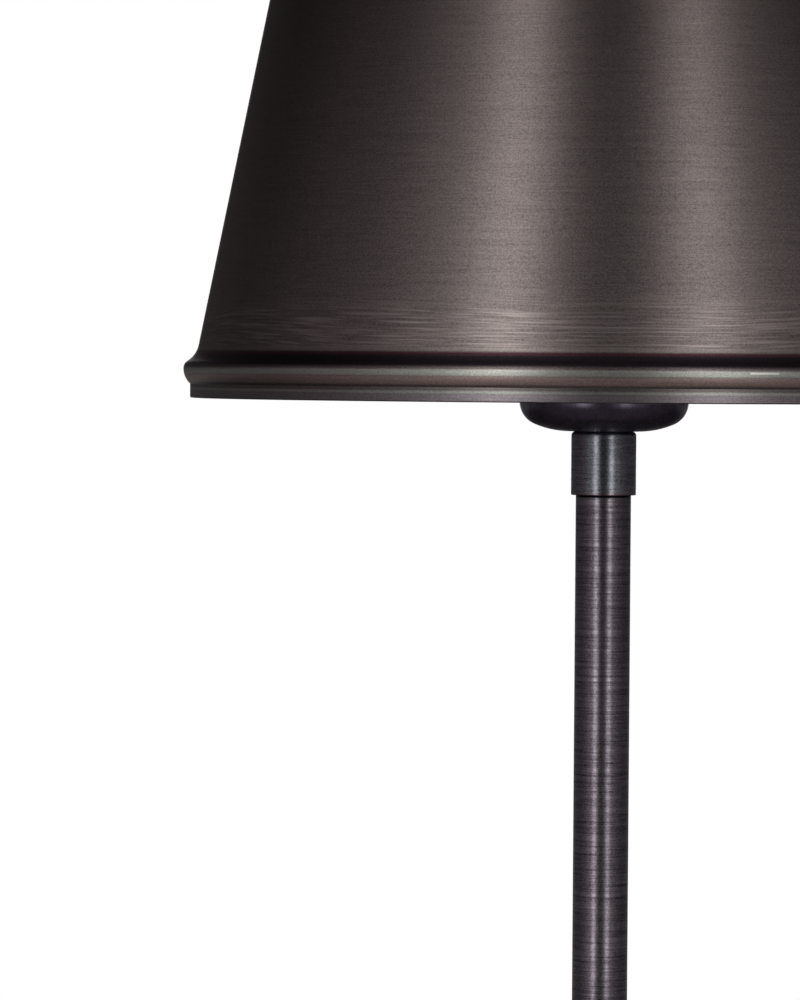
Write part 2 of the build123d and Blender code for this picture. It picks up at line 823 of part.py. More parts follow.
# Centre contact, a strip bent up from the switch body
with BuildPart() as centre_contact:
    with BuildSketch(Plane.XZ):
        with BuildLine():
            with BuildLine(mode=Mode.PRIVATE) as contact_line:
                FilletPolyline(
                    (-contact_reach, screw_shell_level),
                    (contact_heel, screw_shell_level),
                    (contact_heel + contact_rise, contact_top - contact_thickness),
                    (-contact_heel, contact_top - contact_thickness),
                    radius=contact_bend,
                )
            add(contact_line.line)
            offset(contact_line.line, amount=contact_thickness, side=Side.LEFT)
        make_face()
    extrude(amount=contact_width / 2, both=True)
centre_contact.part.label = "centre_contact"
export_step(centre_contact.part, "parts/centre_contact.step")


# Terminal screws, one on each side
with BuildPart() as terminal_left:
    with BuildSketch(Plane.YZ.offset(-terminal_flat)):
        with Locations((0, terminal_level)):
            Circle(terminal_radius)
    extrude(amount=-terminal_head)
    with BuildSketch(Plane.YZ.offset(-terminal_flat)):
        with Locations((0, terminal_level)):
            Circle(terminal_shank_radius)
    extrude(amount=terminal_depth)
    with BuildSketch(Plane.YZ.offset(-terminal_flat - terminal_head)):
        with Locations((0, terminal_level)):
            Rectangle(screw_slot, 2 * terminal_radius)
    extrude(amount=screw_slot_depth, mode=Mode.SUBTRACT)
terminal_left.part.label = "terminal_left"
export_step(terminal_left.part, "parts/terminal_left.step")

with BuildPart() as terminal_right:
    mirror(terminal_left.part, about=Plane.YZ)
terminal_right.part.label = "terminal_right"
export_step(terminal_right.part, "parts/terminal_right.step")

# Switch shaft and its fluted knob, towards the front
with BuildPart() as switch_shaft:
    with BuildSketch(Plane.XZ.offset(shaft_start)):
        with Locations((0, shaft_level)):
            Circle(shaft_radius)
    extrude(amount=shaft_end - shaft_start)
switch_shaft.part.label = "switch_shaft"
export_step(switch_shaft.part, "parts/switch_shaft.step")

with BuildPart() as switch_knob:
    with BuildSketch(Plane.XZ.offset(knob_start)):
        with Locations((0, shaft_level)):
            Circle(knob_collar_radius)
    extrude(amount=knob_collar)
    with BuildSketch(Plane.XZ.offset(knob_start + knob_collar)):
        with Locations((0, shaft_level)):
            Circle(knob_radius)
            with PolarLocations(knob_radius, knob_flutes):
                Circle(knob_flute_radius, mode=Mode.SUBTRACT)
    extrude(amount=knob_length - knob_collar)
    with BuildSketch(Plane.XZ.offset(knob_start)):
        with Locations((0, shaft_level)):
            Circle(shaft_radius)
    extrude(amount=shaft_end - knob_start, mode=Mode.SUBTRACT)
switch_knob.part.label = "switch_knob"
export_step(switch_knob.part, "parts/switch_knob.step")

# Bulb glass: neck, throat and ball, each tangent to the next
ball_level = bulb_level + bulb_length - bulb_radius
throat_offset = bulb_neck_radius + bulb_throat_radius
throat_level = ball_level - sqrt((bulb_radius + bulb_throat_radius) ** 2 - throat_offset**2)


def draw_bulb(skin):
    """Draws the bulb's outline from neck to crown, skin mm inside its outer surface."""
    neck = bulb_neck_radius - skin
    ball = bulb_radius - skin
    share = ball / (bulb_radius + bulb_throat_radius)
    shoulder = (share * throat_offset, ball_level - share * (ball_level - throat_level))
    Line((neck, bulb_level), (neck, throat_level))
    RadiusArc((neck, throat_level), shoulder, bulb_throat_radius + skin)
    RadiusArc(shoulder, (0, ball_level + ball), -ball)


with BuildPart() as bulb_glass:
    with BuildSketch(Plane.XZ):
        with BuildLine():
            draw_bulb(0)
            draw_bulb(bulb_wall)
            Line((bulb_neck_radius - bulb_wall, bulb_level), (bulb_neck_radius, bulb_level))
            Line((0, ball_level + bulb_radius - bulb_wall), (0, ball_level + bulb_radius))
        make_face()
    revolve(axis=Axis.Z)
bulb_glass.part.label = "bulb_glass"
export_step(bulb_glass.part, "parts/bulb_glass.step")

# Bulb cap, insulator and tip
with BuildPart() as bulb_cap:
    with BuildSketch(Plane.XY.offset(bulb_cap_level)):
        Circle(bulb_cap_radius)
    extrude(amount=bulb_cap_length)
    with BuildSketch(Plane.XY.offset(bulb_cap_level + bulb_cap_wall)):
        Circle(bulb_cap_radius - bulb_cap_wall)
    extrude(amount=bulb_cap_length, mode=Mode.SUBTRACT)
bulb_cap.part.label = "bulb_cap"
export_step(bulb_cap.part, "parts/bulb_cap.step")

with BuildPart() as bulb_insulator:
    with BuildSketch(Plane.XY.offset(bulb_heel_level)):
        Circle(bulb_heel_radius)
    with BuildSketch(Plane.XY.offset(bulb_cap_level)):
        Circle(bulb_cap_radius)
    loft()
bulb_insulator.part.label = "bulb_insulator"
export_step(bulb_insulator.part, "parts/bulb_insulator.step")

with BuildPart() as bulb_tip:
    with BuildSketch(Plane.XY.offset(bulb_tip_level)):
        Circle(bulb_tip_radius)
    extrude(amount=bulb_tip_length)
    fillet(bulb_tip.edges().group_by(Axis.Z)[0], radius=bulb_tip_round)
bulb_tip.part.label = "bulb_tip"
export_step(bulb_tip.part, "parts/bulb_tip.step")

# Harp, one bent wire: a leg, a flare, a straight side and an arch on each side of the eye
with BuildPart() as harp_wire:
    lean = sin(radians(harp_flare_angle))
    climb = cos(radians(harp_flare_angle))
    wire_level = harp_top - harp_wire_radius
    side_top = wire_level - harp_arch_radius * (1 + lean)
    side_foot = side_top - harp_side * climb
    leg_top = side_foot - harp_flare_radius * lean
    side_foot_spread = harp_spread + harp_flare_radius * (1 - climb)
    side_top_spread = side_foot_spread + harp_side * lean
    with BuildLine(Plane.XZ):
        Line((harp_spread, harp_foot), (harp_spread, leg_top))
        RadiusArc((harp_spread, leg_top), (side_foot_spread, side_foot), harp_flare_radius)
        Line((side_foot_spread, side_foot), (side_top_spread, side_top))
        RadiusArc(
            (side_top_spread, side_top),
            (side_top_spread - harp_arch_radius * climb, wire_level),
            -harp_arch_radius,
        )
    with BuildSketch(Plane.XY.offset(harp_foot)):
        with Locations((harp_spread, 0)):
            Circle(harp_wire_radius)
    sweep()
    with BuildSketch(Plane.XY.offset(harp_foot)):
        with Locations((arm_inside, 0)):
            Rectangle(
                harp_spread + harp_wire_radius - arm_inside,
                tip_width + 2 * (harp_arm_gap + harp_end_wall),
                align=(Align.MIN, Align.CENTER),
            )
        with Locations((arm_inside, 0)):
            Rectangle(
                arm_outside + harp_arm_gap - arm_inside,
                tip_width + 2 * harp_arm_gap,
                align=(Align.MIN, Align.CENTER),
                mode=Mode.SUBTRACT,
            )
    extrude(amount=harp_end_length)
    mirror(about=Plane.YZ)
    with BuildSketch(Plane.XY.offset(harp_top - 2 * harp_wire_radius)):
        Circle(harp_eye_radius)
    extrude(amount=2 * harp_wire_radius)
    with BuildSketch(Plane.XY.offset(harp_top - 2 * harp_wire_radius)):
        Circle(stud_shank_radius + stud_running_gap)
    extrude(amount=2 * harp_wire_radius, mode=Mode.SUBTRACT)
harp_wire.part.label = "harp_wire"
export_step(harp_wire.part, "parts/harp_wire.step")


# Sleeves that lock the harp's ends to the saddle
with BuildPart() as sleeve_left:
    sleeve_middle = (arm_inside + harp_spread + harp_wire_radius) / 2
    sleeve_width = harp_spread + harp_wire_radius - arm_inside + 2 * sleeve_room
    sleeve_depth = tip_width + 2 * (harp_arm_gap + harp_end_wall + sleeve_room)
    with BuildSketch(Plane.XY.offset(shoulder_level)):
        with Locations((-sleeve_middle, 0)):
            RectangleRounded(sleeve_width + 2 * sleeve_wall, sleeve_depth + 2 * sleeve_wall, sleeve_corner)
            RectangleRounded(
                sleeve_width, sleeve_depth, sleeve_corner - sleeve_wall, mode=Mode.SUBTRACT
            )
    extrude(amount=sleeve_length)
sleeve_left.part.label = "sleeve_left"
export_step(sleeve_left.part, "parts/sleeve_left.step")

with BuildPart() as sleeve_right:
    mirror(sleeve_left.part, about=Plane.YZ)
sleeve_right.part.label = "sleeve_right"
export_step(sleeve_right.part, "parts/sleeve_right.step")

# Harp stud, riveted so that it turns in the harp's eye, with the seat and thread for the shade
with BuildPart() as harp_stud:
    head_top = harp_top - 2 * harp_wire_radius - stud_play
    seat_top = seat_level + seat_thickness
    with BuildSketch(Plane.XZ):
        with BuildLine():
            Polyline(
                (0, head_top - stud_head),
                (stud_head_radius - stud_head_chamfer, head_top - stud_head),
                (stud_head_radius, head_top - stud_head + stud_head_chamfer),
                (stud_head_radius, head_top),
                (stud_shank_radius, head_top),
                (stud_shank_radius, seat_level),
                (seat_radius, seat_level),
                (seat_radius, seat_top),
                (stud_thread_radius, seat_top),
                (stud_thread_radius, seat_top + stud_thread - stud_tip),
                (stud_thread_radius - stud_tip, seat_top + stud_thread),
                (0, seat_top + stud_thread),
                close=True,
            )
        make_face()
    revolve(axis=Axis.Z)
harp_stud.part.label = "harp_stud"
export_step(harp_stud.part, "parts/harp_stud.step")

# Shade, spun from sheet: a band, bead and cove at each end of a straight taper, and a folded hem
cone_length = hypot(shade_taper, 1)
cone_outward = (1 / cone_length, shade_taper / cone_length)
with BuildPart() as shade_body:
    with BuildSketch(Plane.XZ):
        with BuildLine():
            with BuildLine(mode=Mode.PRIVATE) as shade_line:
                lower_end = draw_moulding(
                    (rim_radius, rim_level),
                    1,
                    rim_band,
                    rim_bead_reach,
                    rim_bead_lower,
                    rim_bead_upper,
                    (shade_radius(0), rim_level),
                    (-shade_taper / cone_length, 1 / cone_length),
                    cone_outward,
                    rim_cove,
                )
                upper_end = draw_moulding(
                    (top_band_radius, shade_top),
                    -1,
                    top_band,
                    top_bead_reach,
                    top_bead_lower,
                    top_bead_upper,
                    (shade_radius(shade_height), shade_top),
                    (shade_taper / cone_length, -1 / cone_length),
                    cone_outward,
                    top_cove,
                )
                Line(lower_end, upper_end)
            add(shade_line.line)
            offset(shade_line.line, amount=shade_wall, side=Side.LEFT)
        make_face()
    revolve(axis=Axis.Z)
    with BuildSketch(Plane.XY.offset(rim_level)):
        Circle(rim_radius - shade_wall)
        Circle(rim_radius - hem_thickness, mode=Mode.SUBTRACT)
    extrude(amount=rim_band)
shade_body.part.label = "shade_body"
export_step(shade_body.part, "parts/shade_body.step")

# Spider: a punched hub, three bent arms and the ring that is welded inside the shade
with BuildPart() as shade_spider:
    ring_level = shade_top - spider_ring_drop
    ring_inset = (shade_wall + weld_gap + spider_ring_radius) * cone_length
    ring_radius = shade_radius(shade_height - spider_ring_drop) - ring_inset
    arm_level = hub_level + spider_hub / 2
    with BuildSketch(Plane.XZ):
        with Locations((ring_radius, ring_level)):
            Circle(spider_ring_radius)
    revolve(axis=Axis.Z)
    with BuildSketch(Plane.XY.offset(hub_level)):
        Circle(spider_hub_radius)
        Circle(spider_hub_hole_radius, mode=Mode.SUBTRACT)
    extrude(amount=spider_hub)
    for turn in range(spider_arms):
        heading = Plane.XZ.rotated((0, 0, spider_first + 360 * turn / spider_arms))
        with BuildLine(heading):
            arm_start = (spider_hub_radius - spider_lap, arm_level)
            FilletPolyline(
                arm_start, (spider_flat, arm_level), (ring_radius, ring_level), radius=spider_bend
            )
        with BuildSketch(Plane(heading.from_local_coords(arm_start), z_dir=heading.x_dir)):
            Circle(spider_arm_radius)
        sweep()
shade_spider.part.label = "shade_spider"
export_step(shade_spider.part, "parts/shade_spider.step")

# Finial: base, neck, ball and button, with a blind bore for the stud
with BuildPart() as finial:
    neck_level = finial_level + finial_base
    ball_foot = neck_level + finial_neck
    ball_middle = ball_foot + sqrt(finial_ball_radius**2 - finial_neck_radius**2)
    button_foot = ball_middle + sqrt(finial_ball_radius**2 - finial_button_radius**2)
    button_curve = (finial_button_radius**2 + finial_button**2) / (2 * finial_button)
    bore_radius = stud_thread_radius + finial_bore_clearance
    bore_top = finial_level + finial_bore_depth
    with BuildSketch(Plane.XZ):
        with BuildLine():
            Polyline(
                (bore_radius, finial_level),
                (finial_base_radius, finial_level),
                (finial_base_radius, finial_level + finial_edge),
            )
            RadiusArc(
                (finial_base_radius, finial_level + finial_edge),
                (finial_neck_radius, ball_foot),
                finial_flare,
            )
            RadiusArc(
                (finial_neck_radius, ball_foot),
                (finial_button_radius, button_foot),
                -finial_ball_radius,
            )
            RadiusArc(
                (finial_button_radius, button_foot), (0, button_foot + finial_button), -button_curve
            )
            Polyline(
                (0, button_foot + finial_button),
                (0, bore_top),
                (bore_radius, bore_top),
                (bore_radius, finial_level),
            )
        make_face()
    revolve(axis=Axis.Z)
finial.part.label = "finial"
export_step(finial.part, "parts/finial.step")
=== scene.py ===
import logging
import math
from collections.abc import Sequence
from dataclasses import dataclass, field
from enum import Enum

import bmesh
import bpy
from mathutils import Matrix, Quaternion, Vector


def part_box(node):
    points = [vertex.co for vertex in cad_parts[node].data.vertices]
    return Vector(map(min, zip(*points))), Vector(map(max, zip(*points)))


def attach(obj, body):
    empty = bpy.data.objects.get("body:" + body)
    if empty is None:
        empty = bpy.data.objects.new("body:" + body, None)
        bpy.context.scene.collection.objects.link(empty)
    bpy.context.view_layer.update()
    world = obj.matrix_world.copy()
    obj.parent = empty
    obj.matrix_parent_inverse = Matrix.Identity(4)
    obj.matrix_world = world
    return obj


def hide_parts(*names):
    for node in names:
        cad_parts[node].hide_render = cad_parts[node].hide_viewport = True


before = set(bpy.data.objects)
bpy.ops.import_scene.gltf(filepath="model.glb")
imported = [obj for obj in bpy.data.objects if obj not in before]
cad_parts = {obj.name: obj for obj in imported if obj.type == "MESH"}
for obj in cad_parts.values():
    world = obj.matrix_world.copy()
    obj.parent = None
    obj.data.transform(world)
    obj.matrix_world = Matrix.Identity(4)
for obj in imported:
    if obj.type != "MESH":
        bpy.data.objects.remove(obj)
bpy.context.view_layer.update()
LOG = logging.getLogger("buffet_lamp")
MM = 0.001
# Radii of edges in millimetres, from an edge straight off the lathe to a rolled one.
CRISP, EASED, DULLED, SOFT, ROLLED = 0.2, 0.3, 0.4, 0.5, 0.6
ROUND_STEPS = 5
ON_AXIS = 1e-3
# Lays an upright axis down, so that its top points to the front.
SIDEWAYS = Matrix.Rotation(math.pi / 2, 4, "X")
Tree, Socket = bpy.types.NodeTree, bpy.types.NodeSocket
Mesh, Object, Material = bpy.types.Mesh, bpy.types.Object, bpy.types.Material
Point = tuple[float, float, int]


class Slot(Enum):
    """Material slots, which the finishes name."""

    FELT = "felt"
    CAST = "cast_weight"
    SHEET = "bronze_sheet"
    SHADE = "bronze_shade"
    TURNED = "bronze_turned"
    TUBE = "bronze_tube"
    GLOSS = "gloss_bronze"
    ZINC = "zinc_steel"
    HARP = "harp_brass"
    SOCKET = "socket_brass"
    CONTACT = "contact_brass"
    FIBRE = "fibre"
    PHENOLIC = "phenolic"
    BUSHING = "black_plastic"
    KNOB = "knob_plastic"
    GLASS = "bulb_glass"
    CAP = "bulb_cap"


def linear(colour: str, share: float = 1.0) -> tuple[float, float, float, float]:
    """Turns an sRGB hex colour into linear values.

    Args:
        colour: Hex colour such as "#7c7170".
        share: Factor on the linear values.

    Returns:
        Red, green, blue and an alpha of one.
    """
    values = [int(colour[i : i + 2], 16) / 255 for i in (1, 3, 5)]
    red, green, blue = (share * (v / 12.92 if v <= 0.04045 else ((v + 0.055) / 1.055) ** 2.4) for v in values)
    return red, green, blue, 1.0


def add_node(
    tree: Tree, kind: str, inputs: dict[str | int, object] | Sequence[object] = (), **settings: object
) -> bpy.types.Node:
    """Adds a node with its settings, values and links.

    Args:
        tree: The tree that gets the node.
        kind: Blender's name for the kind of node.
        inputs: By socket name or number, or in a list for the first sockets: an output to link from, or a
            value.
        settings: Properties of the node.

    Returns:
        The new node.
    """
    node = tree.nodes.new(kind)
    for name, value in settings.items():
        setattr(node, name, value)
    for key, value in inputs.items() if isinstance(inputs, dict) else enumerate(inputs):
        if isinstance(value, Socket):
            tree.links.new(value, node.inputs[key])
        else:
            node.inputs[key].default_value = value
    return node


def empty_tree(holder: Material | bpy.types.World) -> Tree:
    """Gives a material or a world an empty node tree.

    Args:
        holder: The material or world.

    Returns:
        The tree.
    """
    holder.use_nodes = True
    holder.node_tree.nodes.clear()
    return holder.node_tree


@dataclass
class Look:
    """What a finish gives the shader: coats of colour with their masks, inputs by name, and the relief."""

    coats: list[tuple[Socket, object]]
    inputs: dict[str, object]
    relief: dict[str, object] = field(default_factory=dict)


@dataclass(frozen=True)
class Finish:
    """A finish: its name, the slot it serves, its colour, its gloss and the colour of its darker places."""

    name: str
    slot: Slot
    colour: str
    roughness: float
    shadow: str = "#000000"

    def pattern(self, tree: Tree, coords: Socket, size: Sequence[float], detail: float) -> Socket:
        """Adds an uneven pattern whose cells have a real size.

        Args:
            tree: The material's tree.
            coords: Coordinates in metres.
            size: Cell size along X, Y and Z in millimetres.
            detail: Levels of finer cells.

        Returns:
            The pattern, around one half.
        """
        scale = [1 / (side * MM) for side in size]
        scaled = add_node(tree, "ShaderNodeMapping", {"Vector": coords, "Scale": scale}).outputs[0]
        inputs = {"Vector": scaled, "Scale": 1.0, "Detail": detail}
        return add_node(tree, "ShaderNodeTexNoise", inputs).outputs[0]

    def look(self, tree: Tree, coords: Socket) -> Look:
        """Works out the look, which each kind of finish does its own way.

        Args:
            tree: The material's tree.
            coords: Object coordinates.

        Returns:
            The look.
        """
        raise NotImplementedError

    def make(self) -> Material:
        """Makes the material.

        Returns:
            The material.
        """
        material = bpy.data.materials.new(self.name)
        tree = empty_tree(material)
        look = self.look(tree, add_node(tree, "ShaderNodeTexCoord").outputs["Object"])
        colour = linear(self.colour)
        for mask, tone in look.coats:
            mixed = add_node(tree, "ShaderNodeMix", {"Factor": mask, 6: colour, 7: tone}, data_type="RGBA")
            colour = mixed.outputs[2]
        inputs = {"Base Color": colour, "Roughness": self.roughness, **look.inputs}
        if look.relief:
            inputs["Normal"] = add_node(tree, "ShaderNodeBump", look.relief).outputs[0]
        shader = add_node(tree, "ShaderNodeBsdfPrincipled", inputs)
        add_node(tree, "ShaderNodeOutputMaterial", [shader.outputs[0]])
        return material


@dataclass(frozen=True)
class Belt:
    """A soft-edged belt round a spun piece: where it starts, is full, fades and ends, in millimetres."""

    start: float
    full: float
    fade: float
    end: float
    colour: str = "#000000"


@dataclass(frozen=True)
class SpunBronze(Finish):
    """Bronze brushed on the lathe, so its highlights run out along its length. Millimetres.

    It may be scored by hand at the foot. Belts paint shade into coves and grooves and highlights onto beads
    and edges; it may be painted darker towards the top, as shade, and carry a painted glint.
    """

    line: float = 0.35
    run: float = 14.0
    contrast: float = 0.7
    relief: float = 1.0
    depth: float = 0.01
    anisotropy: float = 0.65
    speck: tuple[float, float, float] = (0.45, 0.45, 0.3)
    sway: float = 2.2
    sway_size: tuple[float, float, float] = (70.0, 70.0, 40.0)
    score: tuple[float, float, float] = (18.0, 18.0, 0.45)
    foot: float = 0.0
    scored: Belt | None = None
    # Belts of colour: most are painted shade in coves and grooves or painted highlights on beads and edges.
    belts: tuple[Belt, ...] = ()
    # Heights over which it is painted darker towards the top: painted shade, as less light falls there.
    fade: tuple[float, float] | None = None
    # Where the painted glint lies: its left, right, lower and upper edge.
    glint_spot: tuple[float, float, float, float] | None = None

    def grain(self, tree: Tree, coords: Socket) -> Socket:
        """Makes the brushing: close lines of uneven depth with a few wider ones among them.

        Args:
            tree: The material's tree.
            coords: Object coordinates.

        Returns:
            The brushing from zero, in a line, to one.
        """
        fine = self.pattern(tree, coords, (self.run, self.run, self.line), 3.0)
        wide = self.pattern(tree, coords, (3 * self.run, 3 * self.run, 6 * self.line), 1.0)
        inputs = {"Factor": 0.2, 2: fine, 3: wide}
        both = add_node(tree, "ShaderNodeMix", inputs, data_type="FLOAT").outputs[0]
        return add_node(tree, "ShaderNodeMapRange", [both, 0.32, 0.68, 0.0, 1.0]).outputs[0]

    def zone(self, tree: Tree, level: Socket, belt: Belt) -> Socket:
        """Makes the mask of a belt.

        Args:
            tree: The material's tree.
            level: Height above the lamp's foot in metres.
            belt: The belt, above the piece's own foot.

        Returns:
            One within the belt and zero outside it.
        """
        edges = (belt.start, belt.full, belt.fade, belt.end)
        start, full, fade, end = ((self.foot + edge) * MM for edge in edges)
        sides = [
            add_node(tree, "ShaderNodeMapRange", [level, *side], interpolation_type="SMOOTHSTEP").outputs[0]
            for side in ((start, full, 0.0, 1.0), (fade, end, 1.0, 0.0))
        ]
        return add_node(tree, "ShaderNodeMath", sides, operation="MULTIPLY").outputs[0]

    def scores(self, tree: Tree, coords: Socket) -> Socket:
        """Makes the long fine scores of the hand-held abrasive, not quite level.

        Args:
            tree: The material's tree.
            coords: Object coordinates.

        Returns:
            The scores, one where they are brightest.
        """
        wave = self.pattern(tree, coords, self.sway_size, 0.0)
        sway = [wave, 0.2, 0.8, -self.sway * MM, self.sway * MM]
        lift = add_node(tree, "ShaderNodeMapRange", sway).outputs[0]
        shift = add_node(tree, "ShaderNodeCombineXYZ", {2: lift}).outputs[0]
        waved = add_node(tree, "ShaderNodeVectorMath", [coords, shift], operation="ADD").outputs[0]
        lines = self.pattern(tree, waved, self.score, 3.0)
        return add_node(tree, "ShaderNodeMapRange", [lines, 0.46, 0.68, 0.0, 1.0]).outputs[0]

    def glint_spot_mask(self, tree: Tree, coords: Socket) -> Socket:
        """Makes the mask of the short painted glint at the front, from its left, right, lower and upper edge.

        Args:
            tree: The material's tree.
            coords: Object coordinates.

        Returns:
            One on the painted glint and zero elsewhere.
        """
        axes = add_node(tree, "ShaderNodeSeparateXYZ", [coords]).outputs
        left, right, low, high = (edge * MM for edge in self.glint_spot)
        mask = 1.0
        for axis, first, last in ((axes[0], left, right), (axes[2], low, high), (axes[1], -1.0, 0.0)):
            span = [axis, (first + last) / 2, (last - first) / 2]
            here = add_node(tree, "ShaderNodeMath", span, operation="COMPARE").outputs[0]
            mask = add_node(tree, "ShaderNodeMath", [mask, here], operation="MULTIPLY").outputs[0]
        return mask

    def look(self, tree: Tree, coords: Socket) -> Look:
        """Works out the look.

        Args:
            tree: The material's tree.
            coords: Object coordinates.

        Returns:
            The look.
        """
        level = add_node(tree, "ShaderNodeSeparateXYZ", [coords]).outputs[2]
        grain = self.grain(tree, coords)
        speck = self.pattern(tree, coords, self.speck, 1.0)
        speck = add_node(tree, "ShaderNodeMapRange", [speck, 0.3, 0.7, -0.3, 0.3]).outputs[0]
        swing = 0.2 * self.contrast
        share = add_node(tree, "ShaderNodeMapRange", [grain, 0.0, 1.0, 0.4 + swing, 0.4 - swing]).outputs[0]
        share = add_node(tree, "ShaderNodeMath", [share, speck], operation="ADD").outputs[0]
        coats = [(share, linear(self.shadow))]
        scored = 0.0
        if self.scored:
            both = [self.scores(tree, coords), self.zone(tree, level, self.scored)]
            scored = add_node(tree, "ShaderNodeMath", both, operation="MULTIPLY").outputs[0]
            glint = add_node(tree, "ShaderNodeMapRange", [scored, 0.0, 1.0, 0.0, 0.95]).outputs[0]
            coats.append((glint, linear(self.colour, 1.35)))
        # Painted shade: darker towards the top, where less light falls.
        if self.fade:
            rise = [level, *((self.foot + edge) * MM for edge in self.fade), 0.0, 0.75]
            dark = add_node(tree, "ShaderNodeMapRange", rise, interpolation_type="SMOOTHSTEP").outputs[0]
            coats.append((dark, linear(self.shadow)))
        # The grain runs on over the belts of painted shade and painted highlight.
        belt_grain = add_node(tree, "ShaderNodeMapRange", [share, 0.15, 0.65, 1.15, 0.8]).outputs[0]
        for belt in self.belts:
            scale = {0: linear(belt.colour)[:3], "Scale": belt_grain}
            tone = add_node(tree, "ShaderNodeVectorMath", scale, operation="SCALE").outputs[0]
            coats.append((self.zone(tree, level, belt), tone))
        # A painted glint: a short near-white line on the bead at the front.
        if self.glint_spot:
            coats.append((self.glint_spot_mask(tree, coords), linear("#f4f2ea")))
        uneven = 0.12 * self.relief
        gloss = [grain, 0.0, 1.0, self.roughness * (1 + uneven), self.roughness * (1 - uneven)]
        depths = [grain, self.relief, scored]
        height = add_node(tree, "ShaderNodeMath", depths, operation="MULTIPLY_ADD").outputs[0]
        return Look(coats, {
            "Metallic": 1.0, "Roughness": add_node(tree, "ShaderNodeMapRange", gloss).outputs[0],
            "Anisotropic": self.anisotropy, "Anisotropic Rotation": 0.25,
        }, {"Height": height, "Distance": self.depth * MM, "Strength": 0.4})


@dataclass(frozen=True)
class BareMetal(Finish):
    """Plated, rolled or lacquered metal: even, with faint spots of dulled plating and handling marks."""

    metallic: float = 1.0
    cell: float = 3.0
    coat: float = 0.0
    fine: float = 0.25
    depth: float = 0.004

    def look(self, tree: Tree, coords: Socket) -> Look:
        """Works out the look.

        Args:
            tree: The material's tree.
            coords: Object coordinates.

        Returns:
            The look.
        """
        spots = self.pattern(tree, coords, (self.cell,) * 3, 4.0)
        share = add_node(
            tree, "ShaderNodeMapRange", [spots, 0.42, 0.72, 0.0, 0.6], interpolation_type="SMOOTHSTEP"
        ).outputs[0]
        gloss = [spots, 0.3, 0.7, self.roughness * 0.8, self.roughness * 1.25]
        fine = self.pattern(tree, coords, (self.fine,) * 3, 2.0)
        return Look([(share, linear(self.shadow))], {
            "Metallic": self.metallic, "Roughness": add_node(tree, "ShaderNodeMapRange", gloss).outputs[0],
            "Coat Weight": self.coat, "Coat Roughness": 0.08,
        }, {"Height": fine, "Distance": self.depth * MM, "Strength": 0.5})


@dataclass(frozen=True)
class Lacquer(Finish):
    """Sprayed lacquer: a smooth coat with a faint orange peel and duller specks of dust."""

    peel: float = 1.2
    speck: float = 0.4
    dust: float = 0.1
    depth: float = 0.01

    def look(self, tree: Tree, coords: Socket) -> Look:
        """Works out the look.

        Args:
            tree: The material's tree.
            coords: Object coordinates.

        Returns:
            The look.
        """
        peel = self.pattern(tree, coords, (self.peel,) * 3, 1.0)
        dust = self.pattern(tree, coords, (self.speck,) * 3, 3.0)
        gloss = [dust, 0.55, 0.75, self.roughness, self.roughness + self.dust]
        rough = add_node(tree, "ShaderNodeMapRange", gloss).outputs[0]
        return Look([], {"Roughness": rough}, {"Height": peel, "Distance": self.depth * MM, "Strength": 0.35})


@dataclass(frozen=True)
class Moulded(Finish):
    """Moulded, cast or pressed stuff with its fine grain, which may be drawn out upwards."""

    cell: float = 0.3
    depth: float = 0.02
    sheen: float = 0.0
    stretch: float = 1.0

    def look(self, tree: Tree, coords: Socket) -> Look:
        """Works out the look.

        Args:
            tree: The material's tree.
            coords: Object coordinates.

        Returns:
            The look.
        """
        grain = self.pattern(tree, coords, (self.cell, self.cell, self.cell * self.stretch), 4.0)
        share = add_node(tree, "ShaderNodeMapRange", [grain, 0.35, 0.7, 0.0, 1.0]).outputs[0]
        return Look([(share, linear(self.shadow))], {"Sheen Weight": self.sheen}, {
            "Height": grain, "Distance": self.depth * MM, "Strength": 0.6,
        })


@dataclass(frozen=True)
class FrostedGlass(Finish):
    """Glass etched inside: it lets light through but shows nothing sharp."""

    cell: float = 0.3

    def look(self, tree: Tree, coords: Socket) -> Look:
        """Works out the look.

        Args:
            tree: The material's tree.
            coords: Object coordinates.

        Returns:
            The look.
        """
        frost = self.pattern(tree, coords, (self.cell,) * 3, 3.0)
        gloss = [frost, 0.3, 0.7, self.roughness - 0.05, self.roughness + 0.05]
        return Look([], {
            "Roughness": add_node(tree, "ShaderNodeMapRange", gloss).outputs[0], "Transmission Weight": 0.2,
            "IOR": 1.5, "Coat Weight": 1.0, "Coat Roughness": 0.04,
        })


